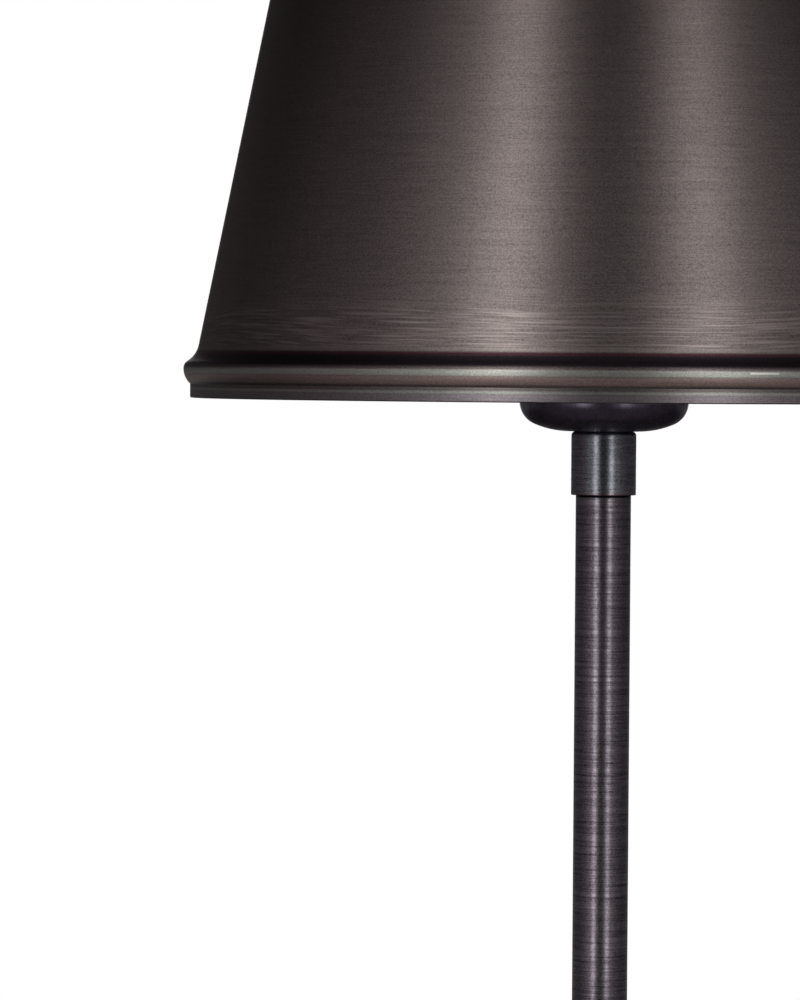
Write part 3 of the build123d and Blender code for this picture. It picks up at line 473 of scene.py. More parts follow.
# Real brushing is finer than 0.1 mm. It is drawn 0.35 to 0.38 mm wide, a little over a pixel of the render,
# so that it shows. Scores, specks, etching, plating and the grain of plastics are drawn 0.25 to 0.5 mm wide,
# coarser than real for the same reason.
FINISHES = {
    # Pressed wool felt: dull black-grey with a faint fuzz at its rim.
    "felt": Moulded("wool felt", Slot.FELT, "#2b2b2c", 0.95, "#121213", 0.5, 0.25, sheen=0.4),
    # Cast iron with its black skin left on: dark and pebbly, with no clear highlight.
    "cast": Moulded("rough cast iron", Slot.CAST, "#2f2f31", 0.62, "#1b1b1c", 1.6, 0.25),
    # Mild steel sheet, spun, bronze plated and brushed: warm dark brown, with painted highlights on its beads
    # and edges and painted shade in the groove and cove beside them.
    "sheet": SpunBronze(
        "brushed bronze sheet", Slot.SHEET, "#978c89", 0.43, "#534a49", relief=0.35,
        belts=(
            # Painted shade in the groove over the band and the cove over the bead; painted highlights on the
            # band's top, the bead's crest and the riser's edge.
            Belt(12.9, 13.5, 14.4, 15.4, "#5f5459"), Belt(12.0, 12.4, 12.7, 13.2, "#a7a79d"),
            Belt(17.4, 18.2, 19.2, 20.0, "#a7a79d"), Belt(20.2, 21.0, 21.8, 22.4, "#5f5459"),
            Belt(34.0, 34.6, 35.4, 36.0, "#a7a79d"),
        ),
    ),
    # Aluminium sheet, spun, bronze plated and brushed: warm dark brown with soft upright highlights, scored
    # by hand above the cove, painted shade in the cove and groove, painted highlights on bead and edges,
    # painted shade darkening it towards the top, and a painted glint on the bead at the front.
    "shade": SpunBronze(
        "spun dark bronze", Slot.SHADE, "#978c89", 0.43, "#534a49", relief=0.35, foot=550.5,
        scored=Belt(13.0, 15.5, 20.5, 32.0), fade=(20.0, 160.0), glint_spot=(39.1, 46.9, 558.5, 559.0),
        belts=(
            # From the edge up: a greyer tone on the band; painted highlights on the band's top line, the
            # bead's underside and crest and the line over the cove; painted shade in the groove, crease and
            # cove; at the top edge a painted highlight on the bead and painted shade in its cove.
            Belt(-1.0, 0.0, 1.9, 2.4, "#888084"), Belt(4.4, 5.0, 6.6, 7.3, "#b6a19a"),
            Belt(13.5, 14.0, 14.4, 15.0, "#9a908c"), Belt(12.2, 12.8, 13.2, 13.8, "#64434a"),
            Belt(9.0, 10.2, 12.4, 13.0, "#453c42"), Belt(3.0, 3.4, 3.9, 4.4, "#736b69"),
            Belt(6.8, 7.4, 8.5, 9.1, "#b6b7af"), Belt(2.1, 2.5, 2.85, 3.2, "#9b9c97"),
            Belt(183.6, 184.4, 185.6, 186.4, "#a7a79d"), Belt(181.8, 182.4, 183.0, 183.6, "#5f5459"),
        ),
    ),
    # Bronze lacquer sprayed inside the shade: dark and satin, with the faint ripple of spraying.
    "inside": Lacquer("bronze lacquer inside the shade", Slot.SHADE, "#4a403b", 0.4),
    # Turned brass, bronze plated and brushed: cooler and smoother than the sheet, with crisp highlights.
    "turned": SpunBronze(
        "turned dark bronze", Slot.TURNED, "#a1a2ab", 0.33, "#36363c", line=0.36, run=8.0, contrast=1.3,
        belts=(Belt(523.0, 523.1, 523.7, 524.1, "#8d7c7e"),),
    ),
    # Steel tube, bronze plated and brushed on the lathe: rings of uneven darkness cross its highlights.
    "tube": SpunBronze(
        "brushed bronze tube", Slot.TUBE, "#9b939c", 0.36, "#382f36", line=0.38, run=13.0, contrast=1.7,
        # The near-black belt just under the collar is a painted shadow.
        relief=1.3, belts=(Belt(522.5, 522.8, 523.6, 523.9, "#120e10"),),
    ),
    # Stamped steel under dark bronze lacquer: nearly black, with small soft highlights.
    "gloss": BareMetal("gloss dark bronze", Slot.GLOSS, "#58505e", 0.30, "#433c47", metallic=0.9),
    # Zinc plated steel: pale grey metal, slightly cloudy.
    "zinc": BareMetal("zinc plated steel", Slot.ZINC, "#c9c8c4", 0.32, "#a3a6a4"),
    # Brass wire and strip, satin finished: warm gold, dulled in spots by handling.
    "harp": BareMetal("satin brass", Slot.HARP, "#c4a56c", 0.30, "#a08350"),
    # Drawn brass under clear lacquer: bright gold with a glassy top layer, tarnished in wide soft spots.
    "socket": BareMetal("lacquered brass", Slot.SOCKET, "#cfab66", 0.24, "#b08b4c", cell=8.0, coat=0.5),
    # Stamped bare brass: gold with brown tarnish.
    "contact": BareMetal("bare brass", Slot.CONTACT, "#cba866", 0.28, "#8f7440"),
    # Vulcanised fibre rolled to a tube: matt grey-brown with upright streaks.
    "fibre": Moulded("pressed fibre", Slot.FIBRE, "#6e6052", 0.8, "#4a4037", 0.3, 0.05, stretch=10.0),
    # Moulded phenolic: black with a hard, even shine.
    "phenolic": Moulded("black phenolic", Slot.PHENOLIC, "#262423", 0.3, "#1a1817", 0.5, 0.01),
    # Moulded nylon: black with a low shine.
    "bushing": Moulded("black nylon", Slot.BUSHING, "#232324", 0.45, "#1b1b1c"),
    # Moulded plastic: brown-black with a satin skin.
    "knob": Moulded("moulded knob plastic", Slot.KNOB, "#262322", 0.4, "#1c1a19"),
    # Blown soda-lime glass, etched inside: milky white under a clear outer shine.
    "glass": FrostedGlass("frosted bulb glass", Slot.GLASS, "#faf9f6", 0.5),
    # Rolled aluminium: light grey and bright, with small dull marks.
    "cap": BareMetal("rolled aluminium", Slot.CAP, "#d9dada", 0.28, "#b4b6b8", cell=1.5),
}
MATERIALS: dict[str, Material] = {}


@dataclass
class Outline:
    """A line of radii and heights in millimetres, for turning about an axis. Its left side is the solid."""

    corners: list[tuple[float, float, float, int]] = field(default_factory=list)
    paint: int = 0

    def to(self, radius: float, height: float, rounding: float = 0.0) -> "Outline":
        """Runs straight to a point, whose corner may be rounded.

        Args:
            radius: Distance from the axis.
            height: Height.
            rounding: Radius of the corner.

        Returns:
            The outline.
        """
        self.corners.append((radius, height, rounding, self.paint))
        return self

    def arc(self, radius: float, height: float, bend: float, steps: int = 10) -> "Outline":
        """Runs to a point along a circle.

        Args:
            radius: Distance from the axis.
            height: Height.
            bend: The circle's radius, above zero for a turn to the left and below it for one to the right.
            steps: Number of straight pieces.

        Returns:
            The outline.
        """
        x, y = self.corners[-1][:2]
        dx, dy = radius - x, height - y
        chord = math.hypot(dx, dy)
        sag = math.sqrt(max(bend * bend - chord * chord / 4, 0.0)) * math.copysign(1, bend)
        centre = ((x + radius - dy / chord * 2 * sag) / 2, (y + height + dx / chord * 2 * sag) / 2)
        first = math.atan2(y - centre[1], x - centre[0])
        turn = (math.atan2(height - centre[1], radius - centre[0]) - first) % math.tau
        if bend < 0:
            turn -= math.tau
        for step in range(1, steps + 1):
            angle = first + turn * step / steps
            self.to(centre[0] + abs(bend) * math.cos(angle), centre[1] + abs(bend) * math.sin(angle))
        return self

    def ellipse(self, radius: float, height: float, level_first: bool = True, steps: int = 20) -> "Outline":
        """Runs to a point along a quarter of an ellipse.

        Args:
            radius: Distance from the axis.
            height: Height.
            level_first: Whether it leaves level, and not upright.
            steps: Number of straight pieces.

        Returns:
            The outline.
        """
        x, y = self.corners[-1][:2]
        for step in range(1, steps + 1):
            ahead, behind = math.sin(math.pi / 2 * step / steps), 1 - math.cos(math.pi / 2 * step / steps)
            across, along = (ahead, behind) if level_first else (behind, ahead)
            self.to(x + (radius - x) * across, y + (height - y) * along)
        return self

    def points(self, closed: bool = True) -> list[Point]:
        """Gives the finished points with their rounded corners.

        Args:
            closed: Whether the last point runs back to the first.

        Returns:
            Radius, height and paint of each point.
        """
        made: list[Point] = []
        count = len(self.corners)
        for i, (x, y, rounding, paint) in enumerate(self.corners):
            if not rounding or (not closed and i in (0, count - 1)):
                made.append((x, y, paint))
                continue
            here = Vector((x, y))
            back = (Vector(self.corners[i - 1][:2]) - here).normalized()
            ahead = (Vector(self.corners[(i + 1) % count][:2]) - here).normalized()
            half = back.angle(ahead) / 2
            reach = rounding / math.tan(half)
            centre = here + (back + ahead).normalized() * (rounding / math.sin(half))
            first, last = (here + run * reach - centre for run in (back, ahead))
            start = math.atan2(first.y, first.x)
            turn = (math.atan2(last.y, last.x) - start + math.pi) % math.tau - math.pi
            for step in range(ROUND_STEPS + 1):
                angle = start + turn * step / ROUND_STEPS
                made.append((
                    centre.x + rounding * math.cos(angle), centre.y + rounding * math.sin(angle), paint,
                ))
        return made


def sheet(line: Sequence[Point], wall: float, inside: int = 0) -> list[Point]:
    """Gives a line the thickness of a sheet on its left side.

    Args:
        line: Points of the outer face.
        wall: Thickness in millimetres.
        inside: Paint of the inner face.

    Returns:
        The points of the closed outline.
    """
    inner = []
    for i, (x, y, _) in enumerate(line):
        before, after = line[max(i - 1, 0)], line[min(i + 1, len(line) - 1)]
        runs = [Vector((x - before[0], y - before[1])), Vector((after[0] - x, after[1] - y))]
        sides = [Vector((-r.y, r.x)).normalized() for r in runs if r.length > 1e-6]
        mean = sum(sides, Vector((0, 0))).normalized()
        shift = mean * wall / max(mean.dot(sides[0]), 0.5)
        inner.append((max(x + shift.x, 0.0), y + shift.y, inside))
    return [*line, *reversed(inner)]


def stand(name: str, data: bpy.types.ID) -> Object:
    """Stands an object in the scene.

    Args:
        name: Its name.
        data: Its mesh, curve or camera.

    Returns:
        The object.
    """
    thing = bpy.data.objects.new(name, data)
    bpy.context.scene.collection.objects.link(thing)
    return thing


def finished(thing: Object) -> Mesh:
    """Gives an object's mesh with its modifiers in it."""
    graph = bpy.context.evaluated_depsgraph_get()
    return bpy.data.meshes.new_from_object(thing.evaluated_get(graph), depsgraph=graph)


def ended(form: bmesh.types.BMesh, name: str) -> Mesh:
    """Ends a form as a mesh.

    Args:
        form: The form.
        name: Name of the mesh.

    Returns:
        The mesh.
    """
    mesh = bpy.data.meshes.new(name)
    form.to_mesh(mesh)
    form.free()
    return mesh


def settle(piece: Object) -> None:
    """Makes a piece's modifiers part of its mesh.

    Args:
        piece: The piece.
    """
    mesh = finished(piece)
    piece.modifiers.clear()
    piece.data = mesh
    mesh.name = piece.name


def cut(piece: Object, tool: Mesh) -> Mesh:
    """Cuts a form out of a piece and takes the piece away.

    Args:
        piece: The piece.
        tool: The form to cut out, closed.

    Returns:
        What is left.
    """
    cutter = stand("cutter", tool)
    opening = piece.modifiers.new("opening", "BOOLEAN")
    opening.object, opening.operation, opening.solver = cutter, "DIFFERENCE", "EXACT"
    mesh = finished(piece)
    bpy.data.objects.remove(piece)
    bpy.data.objects.remove(cutter)
    return mesh


def put(name: str, mesh: Mesh, finishes: Sequence[str], sharp: float = 32.0) -> Object:
    """Puts a finished mesh into the scene.

    Args:
        name: Name of the piece.
        mesh: Its mesh, in place.
        finishes: Keys of FINISHES, in the order of the mesh's paints.
        sharp: Angle in degrees past which an edge stays crisp.

    Returns:
        The new object.
    """
    mesh.name = name
    paints = [face.material_index for face in mesh.polygons]
    mesh.materials.clear()
    for key in finishes:
        mesh.materials.append(MATERIALS[key])
    mesh.polygons.foreach_set("material_index", paints)
    mesh.shade_smooth()
    mesh.set_sharp_from_angle(angle=math.radians(sharp))
    piece = stand(name, mesh)
    even = piece.modifiers.new("even normals", "WEIGHTED_NORMAL")
    even.keep_sharp = True
    settle(piece)
    return piece


def fit(name: str, mesh: Mesh, finishes: Sequence[str], body: str, *nodes: str, sharp: float = 32.0) -> None:
    """Fits a piece to its body, where it stands for CAD nodes.

    Args:
        name: Name of the piece.
        mesh: Its mesh, in place.
        finishes: Keys of FINISHES, in the order of the mesh's paints.
        body: The CAD body that it rides on.
        nodes: The CAD nodes that it stands for.
        sharp: Angle in degrees past which an edge stays crisp.
    """
    piece = put(name, mesh, finishes, sharp)
    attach(piece, body)
    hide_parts(*nodes)
    LOG.info("%s on %s: %d faces", name, body, len(piece.data.polygons))


def turned(
    points: Sequence[Point], closed: bool = True, sides: int = 192, place: Matrix | None = None
) -> Mesh:
    """Turns an outline about an axis.

    Args:
        points: Radius and height in millimetres and paint of each point.
        closed: Whether the last point runs back to the first.
        sides: Number of sides round the axis.
        place: Where the axis goes, in metres, if it isn't the lamp's own.

    Returns:
        The mesh, with faces outwards.
    """
    form = bmesh.new()
    rows = []
    for radius, height, _ in points:
        angles = [math.tau * j / sides for j in range(sides if radius > ON_AXIS else 1)]
        rows.append([
            form.verts.new((radius * MM * math.cos(a), radius * MM * math.sin(a), height * MM))
            for a in angles
        ])
    for i in range(len(rows) if closed else len(rows) - 1):
        low, high = rows[i], rows[(i + 1) % len(rows)]
        if len(low) == 1 and len(high) == 1:
            continue
        for j in range(sides):
            k = (j + 1) % sides
            ring = [low[j % len(low)], low[k % len(low)], high[k % len(high)], high[j % len(high)]]
            form.faces.new(dict.fromkeys(ring)).material_index = points[i][2]
    bmesh.ops.recalc_face_normals(form, faces=form.faces)
    mesh = ended(form, "turned")
    if place is not None:
        mesh.transform(place)
    return mesh


def prism(ring: Sequence[Sequence[float]], run: Sequence[float], edge: float = 0.0) -> Mesh:
    """Makes a block from a flat ring of points.

    Args:
        ring: The ring's corners in millimetres.
        run: From the ring to the block's far end, in millimetres.
        edge: Radius of its edges in millimetres.

    Returns:
        The mesh.
    """
    form = bmesh.new()
    near = [form.verts.new([c * MM for c in spot]) for spot in ring]
    far = [form.verts.new([(c + r) * MM for c, r in zip(spot, run)]) for spot in ring]
    form.faces.new(near)
    form.faces.new(list(reversed(far)))
    for i in range(len(ring)):
        k = (i + 1) % len(ring)
        form.faces.new((near[i], far[i], far[k], near[k]))
    bmesh.ops.recalc_face_normals(form, faces=form.faces)
    if edge:
        bmesh.ops.bevel(form, geom=form.edges[:], offset=edge * MM, segments=3, profile=0.5, affect="EDGES")
    return ended(form, "prism")


def merged(meshes: Sequence[Mesh]) -> Mesh:
    """Puts several meshes into one.

    Args:
        meshes: The meshes, each closed.

    Returns:
        One mesh.
    """
    form = bmesh.new()
    for mesh in meshes:
        form.from_mesh(mesh)
    return ended(form, "merged")


def levels(node: str) -> tuple[float, float]:
    """Gives the lowest and highest height of a CAD node in millimetres."""
    low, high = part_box(node)
    return low[2] / MM, high[2] / MM


class NodeForm:
    """A form made by Geometry Nodes: the tree's named inputs are its sizes."""

    def __init__(self, name: str, sockets: dict[str, str]) -> None:
        """Starts the tree.

        Args:
            name: Name of the tree.
            sockets: Names of the inputs besides geometry and material, in one string for each kind.
        """
        self.tree = bpy.data.node_groups.new(name, "GeometryNodeTree")
        face = self.tree.interface
        face.new_socket(name="Geometry", in_out="INPUT", socket_type="NodeSocketGeometry")
        for kind, keys in {**sockets, "Material": "Material"}.items():
            for key in keys.split():
                face.new_socket(name=key, in_out="INPUT", socket_type=f"NodeSocket{kind}")
        face.new_socket(name="Geometry", in_out="OUTPUT", socket_type="NodeSocketGeometry")
        self.given = add_node(self.tree, "NodeGroupInput").outputs

    def end(self, geometry: Socket) -> None:
        """Ends the tree: instances become real and get their material.

        Args:
            geometry: What the tree has made.
        """
        real = add_node(self.tree, "GeometryNodeRealizeInstances", [geometry]).outputs[0]
        inputs = {"Geometry": real, "Material": self.given["Material"]}
        dressed = add_node(self.tree, "GeometryNodeSetMaterial", inputs)
        add_node(self.tree, "NodeGroupOutput", [dressed.outputs[0]])

    def grow(self, data: bpy.types.ID, **values: object) -> Mesh:
        """Runs the tree.

        Args:
            data: Mesh or curve that goes in.
            values: Values of the named inputs.

        Returns:
            Its result as a plain mesh.
        """
        helper = stand("helper", data)
        modifier = helper.modifiers.new("form", "NODES")
        modifier.node_group = self.tree
        for item in self.tree.interface.items_tree:
            if item.in_out == "INPUT" and item.name in values:
                modifier[item.identifier] = values[item.name]
        mesh = finished(helper)
        bpy.data.objects.remove(helper)
        return mesh


def relief_form() -> NodeForm:
    """Makes the tree for a rod with a wavy relief: a thread where the waves climb, or else flutes.

    Returns:
        The form.
    """
    form = NodeForm("relief rod", {
        "Float": "Radius Length Depth Pitch Runout Chamfer", "Int": "Flutes Sides Rings",
    })
    tree, given = form.tree, form.given
    rod = add_node(tree, "GeometryNodeMeshCylinder", {
        "Vertices": given["Sides"], "Side Segments": given["Rings"], "Radius": given["Radius"],
        "Depth": given["Length"],
    })
    place = add_node(tree, "GeometryNodeInputPosition").outputs[0]
    known = dict(zip(("across", "deep", "up"), add_node(tree, "ShaderNodeSeparateXYZ", [place]).outputs))
    known |= {key: given[key] for key in ("Length", "Depth", "Pitch", "Runout", "Chamfer", "Flutes")}
    for name, operation, *values in (
        ("angle", "ARCTAN2", "deep", "across"), ("turns", "DIVIDE", "up", "Pitch"),
        ("climb", "MULTIPLY", "turns", math.tau), ("around", "MULTIPLY", "angle", "Flutes"),
        ("phase", "ADD", "climb", "around"), ("swing", "COSINE", "phase"),
        ("half swing", "MULTIPLY", "swing", 0.5), ("wave", "SUBTRACT", "half swing", 0.5),
        ("half length", "MULTIPLY", "Length", 0.5), ("height", "ABSOLUTE", "up"),
        ("end gap", "SUBTRACT", "half length", "height"),
        ("run", "DIVIDE", "end gap", "Runout"), ("fade", "MINIMUM", "run", 1.0),
        ("faded", "MULTIPLY", "wave", "fade"), ("cut", "MULTIPLY", "faded", "Depth"),
        ("lack", "SUBTRACT", "Chamfer", "end gap"), ("bevel", "MAXIMUM", "lack", 0.0),
        ("inward", "SUBTRACT", "cut", "bevel"),
    ):
        inputs = [known.get(value, value) for value in values]
        known[name] = add_node(tree, "ShaderNodeMath", inputs, operation=operation).outputs[0]
    level = add_node(tree, "ShaderNodeVectorMath", [place, (1.0, 1.0, 0.0)], operation="MULTIPLY").outputs[0]
    outward = add_node(tree, "ShaderNodeVectorMath", [level], operation="NORMALIZE").outputs[0]
    scale = {0: outward, "Scale": known["inward"]}
    shift = add_node(tree, "ShaderNodeVectorMath", scale, operation="SCALE").outputs[0]
    cutting = add_node(tree, "GeometryNodeSetPosition", {"Geometry": rod.outputs["Mesh"], "Offset": shift})
    form.end(cutting.outputs[0])
    return form


def rods_form() -> NodeForm:
    """Makes the tree for round rods along a path, repeated round the axis.

    Returns:
        The form.
    """
    form = NodeForm("bent rods", {"Float": "Radius First", "Int": "Sides Copies"})
    tree, given = form.tree, form.given
    spots = add_node(tree, "GeometryNodePoints", {"Count": given["Copies"]}).outputs[0]
    index = add_node(tree, "GeometryNodeInputIndex").outputs[0]
    step = add_node(tree, "ShaderNodeMath", [math.tau, given["Copies"]], operation="DIVIDE").outputs[0]
    turns = [step, index, given["First"]]
    turn = add_node(tree, "ShaderNodeMath", turns, operation="MULTIPLY_ADD").outputs[0]
    spin = add_node(tree, "ShaderNodeCombineXYZ", {2: turn}).outputs[0]
    copies = add_node(tree, "GeometryNodeInstanceOnPoints", {
        "Points": spots, "Instance": given["Geometry"], "Rotation": spin,
    })
    paths = add_node(tree, "GeometryNodeRealizeInstances", [copies.outputs[0]])
    ring = add_node(tree, "GeometryNodeCurvePrimitiveCircle", {
        "Resolution": given["Sides"], "Radius": given["Radius"],
    })
    rods = add_node(tree, "GeometryNodeCurveToMesh", {
        "Curve": paths.outputs[0], "Profile Curve": ring.outputs[0], "Fill Caps": True,
    })
    form.end(rods.outputs[0])
    return form


def path(points: Sequence[Sequence[float]]) -> bpy.types.Curve:
    """Makes a path for rods.

    Args:
        points: Places in millimetres.

    Returns:
        The curve.
    """
    curve = bpy.data.curves.new("path", "CURVE")
    curve.dimensions = "3D"
    spline = curve.splines.new("POLY")
    spline.points.add(len(points) - 1)
    for point, place in zip(spline.points, points):
        point.co = (*[c * MM for c in place], 1.0)
    return curve


@dataclass(frozen=True)
class Relief:
    """The relief of a threaded or fluted rod, in millimetres, and how finely it is made."""

    depth: float
    pitch: float
    run_out: float
    chamfer: float
    flutes: int = 1
    sides: int = 96
    rings: int = 96

    def rod(self, form: NodeForm, radius: float, length: float, place: Matrix, finish: str) -> Mesh:
        """Makes a rod with this relief.

        Args:
            form: The form for rods with a relief.
            radius: Its radius in millimetres.
            length: Its length in millimetres.
            place: Where its middle and its axis go.
            finish: Key of its finish.

        Returns:
            The mesh.
        """
        mesh = form.grow(
            bpy.data.meshes.new("seed"), Radius=radius * MM, Length=length * MM, Depth=self.depth * MM,
            Pitch=self.pitch * MM, Runout=self.run_out * MM, Chamfer=self.chamfer * MM, Flutes=self.flutes,
            Sides=self.sides, Rings=self.rings, Material=MATERIALS[finish],
        )
        mesh.transform(place)
        return mesh


@dataclass(frozen=True)
class Moulding:
    """The rolled edge of a spun sheet: a band, a round bead and a cove that joins the wall. Millimetres."""

    band: float
    reach: float
    lower: float
    upper: float
    cove: float

    def crest(self) -> float:
        """Gives the height of the bead's crest above the edge."""
        return self.band + math.sqrt(self.lower**2 - (self.lower - self.reach) ** 2)

    def draw(
        self, edge: tuple[float, float], up: int, foot: tuple[float, float], slope: tuple[float, float]
    ) -> Outline:
        """Draws the moulding from the free edge to the wall.

        Args:
            edge: Radius and height of the free edge.
            up: One where it climbs from the edge, minus one where it hangs.
            foot: A point of the wall.
            slope: Direction of the wall, of length one.

        Returns:
            The outline so far.
        """
        crest = Vector((edge[0] + self.reach, edge[1] + up * self.crest()))
        bead = crest - Vector((self.upper, 0))
        along, out = Vector(slope), Vector((abs(slope[1]), -slope[0] * up))
        gap = bead - Vector(foot)
        reach = self.upper + self.cove
        step = gap.dot(along) + math.sqrt(reach**2 - (self.cove - gap.dot(out)) ** 2)
        on_wall = Vector(foot) + along * step
        on_bead = bead.lerp(on_wall + out * self.cove, self.upper / reach)
        line = Outline().to(*edge).to(edge[0], edge[1] + up * self.band)
        line.arc(*crest, up * self.lower, 10).arc(*on_bead, up * self.upper, 12)
        return line.arc(*on_wall, -up * self.cove, 12)


@dataclass
class BaseAssembly:
    """The spun cover of the weighted base, with its hole for the cord inlet. Millimetres."""

    radius: float = 80.0
    wall: float = 1.2
    edge: Moulding = Moulding(14.0, 2.0, 5.0, 2.6, 3.0)
    dome_edge: float = 76.5
    dome_slope: float = 17.0
    riser: float = 22.0
    riser_height: float = 3.0
    riser_edge: float = 1.0
    pipe_hole: float = 5.1
    inlet_level: float = 8.0
    inlet_hole: float = 4.8
    inlet_depth: float = 6.0

    def build(self) -> None:
        """Builds the cover and opens its hole for the cord inlet."""
        low, high = levels("base_cover")
        slope = math.radians(self.dome_slope)
        run = (-math.cos(slope), math.sin(slope))
        start = low + self.edge.crest() + self.edge.upper
        line = self.edge.draw((self.radius, low), 1, (self.dome_edge, start), run)
        dome_top = high - self.riser_height
        gap = Vector((self.riser, dome_top)) - Vector(line.corners[-1][:2])
        bend = gap.length_squared / (2 * gap.dot(Vector((-run[1], run[0]))))
        line.arc(self.riser, dome_top, bend, 40)
        line.to(self.riser, high, self.riser_edge).to(self.pipe_hole, high)
        cover = put("base_cover_spun", turned(sheet(line.points(False), self.wall), True, 256), ["sheet"])
        middle = Matrix.Translation((0, self.radius * MM, self.inlet_level * MM)) @ SIDEWAYS
        plug = Outline().to(0, -self.inlet_depth).to(self.inlet_hole, -self.inlet_depth)
        plug.to(self.inlet_hole, self.inlet_depth).to(0, self.inlet_depth)
        opened = cut(cover, turned(plug.points(), False, 48, middle))
        fit("base_cover_spun", opened, ["sheet"], "lamp", "base_cover")


@dataclass
class StemAssembly:
    """The foot, the tube and the collar. Millimetres."""

    foot_radius: float = 17.0
    foot_band: float = 3.0
    foot_edge: float = 0.8
    neck_radius: float = 10.4
    tube_radius: float = 7.95
    tube_wall: float = 1.2
    collar_radius: float = 9.35
    shoulder: float = 1.2
    clearance: float = 0.05
    pipe_hole: float = 5.1
    collar_mouth: float = 0.15
    collar_edge: float = 0.25

    def build(self) -> None:
        """Builds the three turned pieces."""
        tube_low, tube_high = levels("stem_tube")
        seat = self.tube_radius + self.clearance
        low, high = levels("stem_foot")
        band_top = low + self.foot_band
        cove = self.foot_radius - self.foot_edge - self.neck_radius
        foot = Outline().to(self.pipe_hole, low).to(self.foot_radius, low, SOFT)
        foot.to(self.foot_radius, band_top, SOFT).to(self.foot_radius - self.foot_edge, band_top)
        foot.arc(self.neck_radius, band_top + cove, -cove, 14)
        foot.to(self.neck_radius, high, SOFT).to(seat, high, CRISP)
        foot.to(seat, tube_low).to(self.pipe_hole, tube_low)
        fit("stem_foot_turned", turned(foot.points()), ["turned"], "lamp", "stem_foot")
        inner = self.tube_radius - self.tube_wall
        tube = Outline().to(inner, tube_low).to(self.tube_radius, tube_low)
        tube.to(self.tube_radius, tube_high).to(inner, tube_high)
        fit("stem_tube_brushed", turned(tube.points()), ["tube"], "lamp", "stem_tube")
        low, high = levels("stem_collar")
        collar = Outline().to(seat, low, self.collar_mouth).to(self.collar_radius, low, self.collar_edge)
        collar.to(self.collar_radius, high, self.shoulder).to(self.pipe_hole, high)
        collar.to(self.pipe_hole, tube_high).to(seat, tube_high)
        fit("stem_collar_turned", turned(collar.points()), ["turned"], "lamp", "stem_collar")


